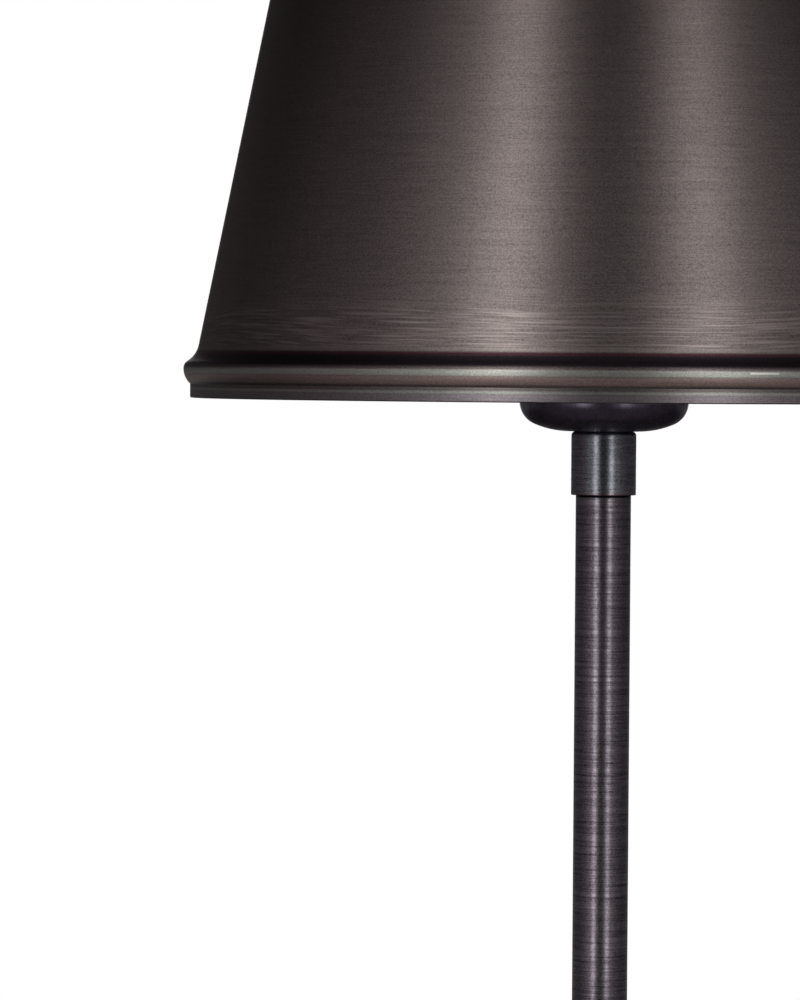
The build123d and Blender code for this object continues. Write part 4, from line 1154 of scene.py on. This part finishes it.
@dataclass
class SocketAssembly:
    """The cup, the socket's cap and shell, and the turn knob. Millimetres."""

    cup_radius: float = 24.3
    cup_wall: float = 1.0
    cup_flat: float = 10.0
    cup_curve: float = 8.5
    cup_shoulder: float = 7.0
    pipe_hole: float = 5.1
    cap_hole: float = 5.0
    hub_radius: float = 6.75
    hub_height: float = 7.0
    cap_radius: float = 17.0
    cap_band: float = 3.0
    skin: float = 0.7
    shell_radius: float = 16.2
    shell_lip: float = 1.4
    bead_low: float = 12.0
    bead_high: float = 6.0
    bead_half: float = 1.1
    bead_bend: float = 1.6
    slot_half: float = 2.5
    slot_reach: float = 4.0
    slot_drop: float = 1.0
    knob_radius: float = 5.6
    knob_bore: float = 2.0
    knob_collar: float = 2.5
    knob_collar_radius: float = 4.0
    # A pitch of a kilometre: the knob's flutes run straight.
    flutes: Relief = Relief(0.75, 1e6, 1.2, 0.7, 12, 96, 40)

    def build(self, relief: NodeForm) -> None:
        """Builds the pieces.

        Args:
            relief: The form for rods with a relief.
        """
        self.build_cup()
        self.build_cap()
        self.build_shell()
        self.build_knob(relief)

    def build_cup(self) -> None:
        """Builds the cup: a flat, a shallow curve and a tighter one that turns up into the wall."""
        low, high = levels("socket_cup")
        across = self.cup_radius - self.cup_shoulder - self.cup_flat
        rise = self.cup_curve - self.cup_shoulder
        bottom = (across**2 + self.cup_curve**2 - self.cup_shoulder**2) / (2 * rise)
        share = bottom / (bottom - self.cup_shoulder)
        cup = Outline().to(self.pipe_hole, low).to(self.cup_flat, low)
        cup.arc(self.cup_flat + share * across, low + bottom - share * (bottom - self.cup_curve), bottom, 14)
        cup.arc(self.cup_radius, low + self.cup_curve, self.cup_shoulder, 14).to(self.cup_radius, high)
        mesh = turned(sheet(cup.points(False), self.cup_wall))
        fit("socket_cup_stamped", mesh, ["gloss"], "lamp", "socket_cup")

    def build_cap(self) -> None:
        """Builds the socket's cap with its hub."""
        low, high = levels("socket_cap")
        hub_top = low + self.hub_height
        cap = Outline().to(self.cap_hole, low).to(self.hub_radius, low, DULLED).to(self.hub_radius, hub_top)
        cap.ellipse(self.cap_radius, high - self.cap_band).to(self.cap_radius, high, CRISP)
        inner = self.cap_radius - self.skin
        cap.to(inner, high, CRISP).to(inner, high - self.cap_band)
        cap.ellipse(self.hub_radius, hub_top + self.skin, False).to(self.cap_hole, hub_top + self.skin)
        fit("socket_cap_drawn", turned(cap.points()), ["socket"], "lamp", "socket_cap")

    def build_shell(self) -> None:
        """Builds the shell with its rolled beads and lip, and the notch for the switch shaft."""
        low, high = levels("socket_shell")
        axle = sum(levels("switch_shaft")) / 2
        radius, lip = self.shell_radius, self.shell_lip
        line = Outline().to(radius, low)
        for bead in (low + self.bead_low, high - self.bead_high):
            line.to(radius, bead - self.bead_half).arc(radius, bead + self.bead_half, -self.bead_bend, 8)
        line.to(radius, high - lip).arc(radius - lip, high, lip, 8)
        shell = put("shell", turned(sheet(line.points(False), self.skin)), ["socket"])
        front, half = -radius - self.slot_reach, self.slot_half
        angles = [math.pi * i / 16 for i in range(17)]
        ring = [(half * math.cos(a), front, axle + half * math.sin(a)) for a in angles]
        ring += [(x, front, low - self.slot_drop) for x in (-half, half)]
        notched = cut(shell, prism(ring, (0.0, -front, 0.0)))
        fit("socket_shell_rolled", notched, ["socket"], "lamp", "socket_shell")

    def build_knob(self, relief: NodeForm) -> None:
        """Builds the fluted knob.

        Args:
            relief: The form for rods with a relief.
        """
        low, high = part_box("switch_knob")
        axle = (low[2] + high[2]) / 2
        length = (high[1] - low[1]) / MM - self.knob_collar
        middle = Matrix.Translation((0, low[1] + length * MM / 2, axle)) @ SIDEWAYS
        grip = self.flutes.rod(relief, self.knob_radius, length, middle, "knob")
        skirt = Outline().to(self.knob_bore, 0).to(self.knob_collar_radius, 0, EASED)
        skirt.to(self.knob_collar_radius, self.knob_collar).to(self.knob_bore, self.knob_collar)
        collar = turned(skirt.points(), True, 64, Matrix.Translation((0, high[1], axle)) @ SIDEWAYS)
        fit("switch_knob_fluted", merged([grip, collar]), ["knob"], "knob", "switch_knob", sharp=40.0)


@dataclass
class BulbAssembly:
    """The bulb: frosted glass, threaded cap and insulator. Millimetres."""

    ball: float = 30.0
    neck: float = 13.5
    neck_taper: float = 0.9
    neck_foot: float = 1.4
    throat: float = 40.0
    wall: float = 1.0
    cap_radius: float = 13.1
    heel_radius: float = 8.0
    heel_inset: float = 0.9
    heel_rim: float = 0.3
    thread: Relief = Relief(1.2, 3.6, 3.0, 0.5)

    def build(self, relief: NodeForm) -> None:
        """Builds the pieces.

        Args:
            relief: The form for rods with a relief.
        """
        low, high = levels("bulb_glass")
        ball_level = high - self.ball
        offset = self.neck + self.throat
        throat_level = ball_level - math.sqrt((self.ball + self.throat) ** 2 - offset**2)
        share = self.ball / (self.ball + self.throat)
        glass = Outline().to(self.neck - self.neck_taper, low).to(self.neck, low + self.neck_foot)
        glass.to(self.neck, throat_level)
        glass.arc(share * offset, ball_level - share * (ball_level - throat_level), -self.throat, 14)
        glass.arc(0, high, self.ball, 40)
        shell = turned(sheet(glass.points(False), self.wall), True, 128)
        fit("bulb_glass_blown", shell, ["glass"], "bulb", "bulb_glass")
        low, high = levels("bulb_cap")
        middle = Matrix.Translation((0, 0, (low + high) / 2 * MM))
        cap = self.thread.rod(relief, self.cap_radius, high - low, middle, "cap")
        fit("bulb_cap_rolled", cap, ["cap"], "bulb", "bulb_cap", sharp=60.0)
        low, high = levels("bulb_insulator")
        rim = self.cap_radius - self.heel_inset
        heel = Outline().to(0, low).to(self.heel_radius, low, ROLLED)
        heel.to(rim, high - self.heel_rim).to(rim, high).to(0, high)
        pressed = turned(heel.points(), False, 96)
        fit("bulb_insulator_pressed", pressed, ["phenolic"], "bulb", "bulb_insulator")


@dataclass
class HarpAssembly:
    """The harp's bent wire with its ends and eye, and the stud that turns in the eye. Millimetres."""

    spread: float = 27.0
    wire: float = 1.6
    wire_sides: int = 24
    flare: float = 50.0
    flare_angle: float = 22.0
    side: float = 52.0
    arch: float = 50.0
    eye: float = 6.5
    eye_hole: float = 2.58
    eye_edge: float = 1.0
    end_length: float = 12.0
    end_inside: float = 23.3
    end_slot: float = 25.4
    end_half: float = 3.1
    end_edge: float = 0.25
    slot_half: float = 2.1
    thread_radius: float = 3.1
    core_depth: float = 0.6
    thread_length: float = 12.0
    thread: Relief = Relief(0.45, 0.94, 1.0, 0.6, 1, 48, 160)
    seat_radius: float = 8.0
    seat: float = 1.6
    shank: float = 2.5
    head_radius: float = 4.4
    head: float = 1.2

    def line(self, low: float, high: float) -> list[tuple[float, float]]:
        """Works out the right half of the wire's path.

        Args:
            low: Height of the wire's foot.
            high: Height of its top.

        Returns:
            Its distances from the axis and heights, from the foot to the eye.
        """
        lean, climb = math.sin(math.radians(self.flare_angle)), math.cos(math.radians(self.flare_angle))
        top = high - self.wire
        side_top = top - self.arch * (1 + lean)
        side_foot = side_top - self.side * climb
        foot_spread = self.spread + self.flare * (1 - climb)
        top_spread = foot_spread + self.side * lean
        half = Outline().to(self.spread, low).to(self.spread, side_foot - self.flare * lean)
        half.arc(foot_spread, side_foot, -self.flare, 12).to(top_spread, side_top)
        half.arc(top_spread - self.arch * climb, top, self.arch, 36)
        return [(x, z) for x, z, _ in half.points(False)]

    def end(self, low: float, side: int) -> Mesh:
        """Makes one end of the wire, pressed to a channel that straddles the saddle's tip.

        Args:
            low: Height of its foot.
            side: One for the right end, minus one for the left.

        Returns:
            The mesh.
        """
        outer, inner, floor = self.spread + self.wire, self.end_inside, self.end_slot
        half, slot = self.end_half, self.slot_half
        ring = [
            (inner, -half), (outer, -half), (outer, half), (inner, half),
            (inner, slot), (floor, slot), (floor, -slot), (inner, -slot),
        ]
        return prism([(side * x, y, low) for x, y in ring], (0.0, 0.0, self.end_length), self.end_edge)

    def build(self, rods: NodeForm, relief: NodeForm) -> None:
        """Builds the wire and the stud.

        Args:
            rods: The form for bent rods.
            relief: The form for rods with a relief.
        """
        low, high = levels("harp_wire")
        meshes = [
            rods.grow(path([(side * x, 0.0, z) for x, z in self.line(low, high)]), Radius=self.wire * MM,
                      Sides=self.wire_sides, Copies=1, First=0.0, Material=MATERIALS["harp"])
            for side in (-1, 1)
        ]
        meshes += [self.end(low, side) for side in (-1, 1)]
        eye_foot = high - 2 * self.wire
        eye = Outline().to(self.eye_hole, eye_foot, CRISP).to(self.eye, eye_foot, self.eye_edge)
        eye.to(self.eye, high, self.eye_edge).to(self.eye_hole, high, CRISP)
        meshes.append(turned(eye.points(), True, 64))
        fit("harp_wire_bent", merged(meshes), ["harp"], "harp", "harp_wire")
        low, high = levels("harp_stud")
        thread_foot = high - self.thread_length
        seat_foot = thread_foot - self.seat
        stud = Outline().to(0, low).to(self.head_radius, low, ROLLED)
        stud.to(self.head_radius, low + self.head, CRISP)
        stud.to(self.shank, low + self.head).to(self.shank, seat_foot).to(self.seat_radius, seat_foot, DULLED)
        stud.to(self.seat_radius, thread_foot, DULLED).to(self.thread_radius - self.core_depth, thread_foot)
        stud.to(0, thread_foot)
        middle = Matrix.Translation((0, 0, (thread_foot + high) / 2 * MM))
        thread = self.thread.rod(relief, self.thread_radius, self.thread_length, middle, "harp")
        riveted = merged([turned(stud.points(False), False, 64), thread])
        fit("harp_stud_threaded", riveted, ["harp"], "harp_swivel", "harp_stud", sharp=50.0)


@dataclass
class ShadeAssembly:
    """The spun shade with its moulded edges and hem, the spider inside it and the finial. Millimetres."""

    foot_radius: float = 119.6
    top_radius: float = 81.5
    height: float = 190.5
    wall: float = 0.8
    side_steps: int = 24
    rim_inset: float = 0.65
    rim: Moulding = Moulding(4.0, 1.95, 6.0, 2.6, 7.0)
    rim_foot: float = 0.3
    hem: float = 1.7
    hem_foot: float = 0.5
    # Corners of the folded edge, in from the hem's or the rim's face and up from the lowest point.
    fold_inner: tuple[float, float] = (0.15, 0.15)
    fold_outer: tuple[float, float] = (0.25, 0.06)
    top_proud: float = 1.1
    top: Moulding = Moulding(2.4, 1.3, 3.6, 1.8, 3.0)
    wire: float = 1.5
    wire_gap: float = 0.05
    ring_drop: float = 12.0
    hub_radius: float = 12.5
    hub_hole: float = 5.2
    hub: float = 1.6
    hub_gap: float = 0.1
    arm_flat: float = 42.0
    arm_bend: float = 14.0
    arms: int = 3
    lap: float = 2.0
    finial_base: float = 8.5
    finial_edge: float = 1.2
    finial_plate: float = 2.4
    finial_neck: float = 4.2
    finial_neck_height: float = 5.0
    finial_flare: float = 9.0
    finial_ball: float = 8.0
    finial_button: float = 2.6
    finial_button_height: float = 1.8
    finial_bore: float = 3.3
    finial_bore_depth: float = 11.5

    def build(self, rods: NodeForm) -> None:
        """Builds shade, spider and finial.

        Args:
            rods: The form for bent rods.
        """
        low, high = levels("shade_body")
        taper = (self.foot_radius - self.top_radius) / self.height
        length = math.hypot(taper, 1)
        self.build_body(low, high, (-taper / length, 1 / length))
        self.build_spider(rods, high, taper, length)
        self.build_finial()

    def build_body(self, low: float, high: float, slope: tuple[float, float]) -> None:
        """Builds the spun body: the outer line, the sheet's inner line down to the hem, and the folded edge.

        Args:
            low: Height of its lower edge.
            high: Height of its upper edge.
            slope: Direction of its side, of length one.
        """
        rim_radius = self.foot_radius - self.rim_inset
        lower = self.rim.draw((rim_radius, low), 1, (self.foot_radius, low), slope)
        top_edge, top_corner = (self.top_radius + self.top_proud, high), (self.top_radius, high)
        upper = self.top.draw(top_edge, -1, top_corner, (-slope[0], -slope[1])).points(False)
        line = lower.points(False)
        start, end = line[-1], upper[-1]
        for step in range(1, self.side_steps):
            share = step / self.side_steps
            line.append((start[0] + (end[0] - start[0]) * share, start[1] + (end[1] - start[1]) * share, 0))
        line += reversed(upper)
        closed = sheet(line, self.wall, 1)
        band_top = low + self.rim.band
        kept = [p for p in closed[len(line):] if p[1] > band_top + 0.01]
        hem_radius = rim_radius - self.hem
        hem = Outline(paint=1).to(rim_radius - self.wall, band_top).to(hem_radius, band_top, EASED)
        hem.to(hem_radius, low + self.hem_foot)
        fold = Outline().to(hem_radius + self.fold_inner[0], low + self.fold_inner[1])
        fold.to(rim_radius - self.hem / 2, low).to(rim_radius - self.fold_outer[0], low + self.fold_outer[1])
        foot = (rim_radius, low + self.rim_foot, 0)
        mesh = turned([*line[1:], *kept, *hem.points(False), *fold.points(False), foot], True, 256)
        fit("shade_body_spun", mesh, ["shade", "inside"], "shade", "shade_body", sharp=40.0)

    def build_spider(self, rods: NodeForm, top: float, taper: float, length: float) -> None:
        """Builds the spider's ring, arms and hub.

        Args:
            rods: The form for bent rods.
            top: Height of the shade's top edge.
            taper: What the side loses in radius for each millimetre of height.
            length: Length of the side for each millimetre of height.
        """
        hub_low = levels("harp_stud")[1] - HarpAssembly.thread_length + self.hub_gap
        arm_level = hub_low + self.hub / 2
        ring_level = top - self.ring_drop
        inset = (self.wall + self.wire_gap + self.wire) * length
        ring_radius = self.foot_radius - taper * (self.height - self.ring_drop) - inset
        ring = Outline().to(ring_radius + self.wire, ring_level)
        for side in (-1, 1):
            ring.arc(ring_radius + side * self.wire, ring_level, self.wire, 10)
        circle = turned(ring.points()[:-1], True, 192)
        run = Outline().to(self.hub_radius - self.lap, arm_level)
        tilt = math.atan2(arm_level - ring_level, ring_radius - self.arm_flat)
        reach = self.arm_bend * math.tan(tilt / 2)
        run.to(self.arm_flat - reach, arm_level)
        bent = (self.arm_flat + reach * math.cos(tilt), arm_level - reach * math.sin(tilt))
        run.arc(*bent, -self.arm_bend, 10)
        run.to(ring_radius, ring_level)
        arms = rods.grow(
            path([(x, 0.0, z) for x, z, _ in run.points(False)]), Radius=self.wire * MM, Sides=20,
            Copies=self.arms, First=math.radians(90), Material=MATERIALS["harp"],
        )
        hub_high = hub_low + self.hub
        hub = Outline().to(self.hub_hole, hub_low, CRISP).to(self.hub_radius, hub_low, SOFT)
        hub.to(self.hub_radius, hub_high, SOFT).to(self.hub_hole, hub_high, CRISP)
        welded = merged([circle, arms, turned(hub.points(), True, 96)])
        fit("shade_spider_welded", welded, ["harp"], "shade", "shade_spider", sharp=40.0)

    def build_finial(self) -> None:
        """Builds the turned finial."""
        low, _ = levels("finial")
        ball_foot = low + self.finial_plate + self.finial_neck_height
        middle = ball_foot + math.sqrt(self.finial_ball**2 - self.finial_neck**2)
        button = middle + math.sqrt(self.finial_ball**2 - self.finial_button**2)
        curve = (self.finial_button**2 + self.finial_button_height**2) / (2 * self.finial_button_height)
        line = Outline().to(self.finial_bore, low, CRISP).to(self.finial_base, low, EASED)
        line.to(self.finial_base, low + self.finial_edge, EASED)
        line.arc(self.finial_neck, ball_foot, -self.finial_flare, 16)
        line.arc(self.finial_button, button, self.finial_ball, 36)
        line.arc(0, button + self.finial_button_height, curve, 10)
        line.to(0, low + self.finial_bore_depth).to(self.finial_bore, low + self.finial_bore_depth)
        fit("finial_turned", turned(line.points(), True, 128), ["turned"], "finial", "finial")


@dataclass
class CarriedNodes:
    """The CAD nodes whose own mesh shows, by the finish that they get."""

    finishes: dict[str, str] = field(default_factory=lambda: {
        "felt": "base_pad", "cast": "base_weight", "bushing": "inlet_bushing", "fibre": "socket_liner",
        "phenolic": "switch_body", "harp": "harp_saddle sleeve_left sleeve_right",
        "contact": "screw_shell centre_contact terminal_left bulb_tip",
        "zinc": "base_washer base_nut threaded_pipe cup_washer cup_nut saddle_spacer set_screw "
                "terminal_right switch_shaft",
    })

    def dress(self) -> None:
        """Gives each node its material."""
        for key, names in self.finishes.items():
            for name in names.split():
                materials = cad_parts[name].data.materials
                materials.clear()
                materials.append(MATERIALS[key])
            LOG.info("carried over in %s: %s", key, names)


@dataclass(frozen=True)
class Panel:
    """A glowing wall bent round the lamp: its levels follow the height and turn down towards the back.

    Metres, and degrees from the camera to the right. Stops are heights with their levels.
    """

    name: str
    distance: float
    turns: tuple[float, float]
    stops: tuple[tuple[float, float], ...]
    back: float = 1.0
    tint: str = "#ffffff"
    facing: tuple[float, float] = (0.6, -0.5)
    column: float = 5.0

    def glow(self) -> Material:
        """Makes the material.

        Returns:
            The material.
        """
        material = bpy.data.materials.new(self.name.replace("_", " "))
        tree = empty_tree(material)
        coords = add_node(tree, "ShaderNodeTexCoord").outputs["Object"]
        axes = add_node(tree, "ShaderNodeSeparateXYZ", [coords]).outputs
        first, last = self.stops[0][0], self.stops[-1][0]
        height = add_node(tree, "ShaderNodeMapRange", [axes[2], first, last]).outputs[0]
        ramp = add_node(tree, "ShaderNodeValToRGB", [height])
        peak = max(value for _, value in self.stops)
        marks = ramp.color_ramp.elements
        while len(marks) < len(self.stops):
            marks.new(0.5)
        for mark, (level, value) in zip(marks, self.stops):
            mark.position = (level - first) / (last - first)
            mark.color = [value / peak * c for c in linear(self.tint)[:3]] + [1.0]
        flat = add_node(tree, "ShaderNodeVectorMath", [coords, (1, 1, 0)], operation="MULTIPLY").outputs[0]
        facing = add_node(tree, "ShaderNodeVectorMath", [flat], operation="NORMALIZE").outputs[0]
        front = add_node(tree, "ShaderNodeSeparateXYZ", [facing]).outputs[1]
        share = add_node(
            tree, "ShaderNodeMapRange", [front, *self.facing, peak * self.back, peak],
            interpolation_type="SMOOTHSTEP",
        ).outputs[0]
        light = add_node(tree, "ShaderNodeEmission", {"Color": ramp.outputs[0], "Strength": share})
        add_node(tree, "ShaderNodeOutputMaterial", [light.outputs[0]])
        return material

    def wall(self) -> Mesh:
        """Makes the wall's mesh.

        Returns:
            The mesh.
        """
        first, last = self.turns
        steps = max(4, int(abs(last - first) / self.column))
        angles = [math.radians(first + (last - first) * i / steps) for i in range(steps + 1)]
        form = bmesh.new()
        columns = [
            [form.verts.new((self.distance * math.sin(a), -self.distance * math.cos(a), stop[0]))
             for stop in (self.stops[0], self.stops[-1])]
            for a in angles
        ]
        for one, two in zip(columns, columns[1:]):
            form.faces.new((one[0], one[1], two[1], two[0]))
        return ended(form, self.name)


@dataclass
class Studio:
    """The pale floor, tall soft boxes, the dark cloth round the set and the camera. Metres and degrees."""

    camera_distance: float = 1.7
    camera_level: float = 0.5625
    aim: tuple[float, float, float] = (-0.0585, 0.0, 0.5214)
    roll: float = 0.4
    lens: float = 212.8
    sensor: float = 36.0
    far_clip: float = 100.0
    plain_light: float = 0.62
    floor_colour: str = "#f2f1ee"
    floor_drop: float = 0.0003
    floor_reach: float = 12.0
    floor_fade: tuple[float, float] = (0.2, 1.3)
    boxes: tuple[Panel, ...] = (
        Panel("soft_box_left", 1.5, (-34.3, -20.8), (
            (-0.1, 0.0), (0.15, 2.9), (0.7, 2.8), (2.3, 2.7), (2.8, 0.0))),
        Panel("soft_box_right", 1.5, (22.0, 35.0), (
            (-0.1, 0.0), (0.15, 2.65), (0.7, 2.45), (1.1, 2.2), (2.3, 2.0), (2.8, 0.0))),
        Panel("soft_edge_left", 1.5, (-60.0, -34.3), ((-0.1, 0.0), (0.15, 0.45), (2.3, 0.4), (2.8, 0.0))),
        Panel("soft_edge_right", 1.5, (35.0, 60.0), (
            (-0.1, 0.0), (0.15, 0.42), (0.7, 0.36), (1.1, 0.25), (2.3, 0.2), (2.8, 0.0))),
    )
    cloth: Panel = Panel("cloth_round", 2.4, (0.0, 360.0), (
        (-0.8, 0.13), (-0.3, 0.17), (0.0, 0.2), (0.45, 0.2),
        (0.9, 0.25), (1.3, 0.25), (2.2, 0.06), (4.5, 0.05),
    ), 0.15, "#fff2f9")
    cloth_lap: float = 1.1
    flags: tuple[Panel, ...] = (
        Panel("flag_front", 2.0, (-14.0, 14.0), ((-0.75, 0.06), (2.4, 0.06))),
        Panel("light_back", 2.2, (168.0, 192.0), ((0.4, 1.3), (2.8, 1.3))),
        Panel("card_low", 2.3, (100.0, 260.0), ((-0.1, 0.15), (0.48, 0.15))),
    )

    def build(self) -> None:
        """Builds the world, the lights, the cloth, the floor and the camera."""
        self.build_world()
        for box in self.boxes:
            self.hang(box.name, box.wall(), box.glow(), True)
        grey = self.cloth.glow()
        self.hang(self.cloth.name, self.cloth.wall(), grey)
        for flag in self.flags:
            self.hang(flag.name, flag.wall(), flag.glow())
        for end, stop in zip(("below", "above"), (self.cloth.stops[0], self.cloth.stops[-1])):
            self.hang(f"cloth_{end}", self.square(self.cloth.distance * self.cloth_lap, stop[0]), grey)
        self.build_floor()
        self.build_camera()
        LOG.info("studio: %d soft boxes, cloth, %d flags, floor and camera", len(self.boxes), len(self.flags))

    def square(self, reach: float, level: float) -> Mesh:
        """Makes a level square.

        Args:
            reach: Half its side.
            level: Its height.

        Returns:
            The mesh.
        """
        mesh = bpy.data.meshes.new("square")
        corners = [(x * reach, y * reach, level) for x, y in ((-1, -1), (1, -1), (1, 1), (-1, 1))]
        mesh.from_pydata(corners, [], [(0, 1, 2, 3)])
        return mesh

    def hang(self, name: str, mesh: Mesh, material: Material, lights: bool = False) -> None:
        """Hangs a panel that the camera doesn't see and that casts no shadow.

        Args:
            name: Name of the panel.
            mesh: Its mesh.
            material: Its material.
            lights: Whether it lights the lamp, and isn't only mirrored in it.
        """
        mesh.materials.append(material)
        panel = stand(name, mesh)
        panel.visible_camera = panel.visible_shadow = False
        panel.visible_diffuse = panel.visible_transmission = lights

    def seen(self, tree: Tree) -> Socket:
        """Tells what is seen, in the open, in gloss or through glass, from what only gives light.

        Args:
            tree: Tree of the floor or the world.

        Returns:
            One where it is seen and zero elsewhere.
        """
        rays = add_node(tree, "ShaderNodeLightPath").outputs
        seen = rays["Is Camera Ray"]
        for ray in ("Is Glossy Ray", "Is Transmission Ray"):
            both = [seen, rays[ray]]
            seen = add_node(tree, "ShaderNodeMath", both, operation="ADD", use_clamp=True).outputs[0]
        return seen

    def build_world(self) -> None:
        """Builds a world that is white behind the lamp and in its gloss, and gives plain light."""
        world = bpy.data.worlds.new("white studio")
        bpy.context.scene.world = world
        tree = empty_tree(world)
        level = add_node(tree, "ShaderNodeMapRange", [self.seen(tree), 0.0, 1.0, self.plain_light, 1.0])
        light = add_node(tree, "ShaderNodeBackground", {"Color": (1, 1, 1, 1), "Strength": level.outputs[0]})
        add_node(tree, "ShaderNodeOutputWorld", [light.outputs[0]])

    def build_floor(self) -> None:
        """Builds a pale floor that keeps the lamp's shadow and runs out to white."""
        material = bpy.data.materials.new("pale floor")
        tree = empty_tree(material)
        coords = add_node(tree, "ShaderNodeTexCoord").outputs["Object"]
        far = add_node(tree, "ShaderNodeVectorMath", [coords], operation="LENGTH").outputs["Value"]
        fade = [far, *self.floor_fade, 0.5, 1.0]
        share = add_node(tree, "ShaderNodeMapRange", fade, interpolation_type="SMOOTHSTEP").outputs[0]
        share = add_node(tree, "ShaderNodeMath", [share, self.seen(tree)], operation="MULTIPLY").outputs[0]
        matt = add_node(tree, "ShaderNodeBsdfDiffuse", {"Color": linear(self.floor_colour)})
        white = add_node(tree, "ShaderNodeEmission", {"Color": (1, 1, 1, 1), "Strength": 1.0})
        mixed = add_node(tree, "ShaderNodeMixShader", [share, matt.outputs[0], white.outputs[0]])
        add_node(tree, "ShaderNodeOutputMaterial", [mixed.outputs[0]])
        mesh = self.square(self.floor_reach, -self.floor_drop)
        mesh.materials.append(material)
        floor = stand("floor", mesh)
        floor.visible_glossy = False

    def build_camera(self) -> None:
        """Builds the camera at the height of the shade's rim."""
        data = bpy.data.cameras.new("camera")
        data.lens, data.sensor_width, data.clip_end = self.lens, self.sensor, self.far_clip
        camera = stand("camera", data)
        camera.location = (0.0, -self.camera_distance, self.camera_level)
        look = (Vector(self.aim) - camera.location).to_track_quat("-Z", "Y")
        camera.rotation_mode = "QUATERNION"
        camera.rotation_quaternion = look @ Quaternion((0, 0, 1), math.radians(self.roll))
        bpy.context.scene.camera = camera


def main() -> None:
    """Builds the lamp and its studio in order."""
    logging.basicConfig(level=logging.INFO, format="%(name)s %(message)s")
    bpy.context.scene.view_settings.view_transform = "Standard"
    for key, finish in FINISHES.items():
        MATERIALS[key] = finish.make()
    LOG.info("finishes: %d", len(MATERIALS))
    relief, rods = relief_form(), rods_form()
    BaseAssembly().build()
    StemAssembly().build()
    SocketAssembly().build(relief)
    BulbAssembly().build(relief)
    HarpAssembly().build(rods, relief)
    ShadeAssembly().build(rods)
    CarriedNodes().dress()
    Studio().build()


if __name__ == "__main__":
    main()
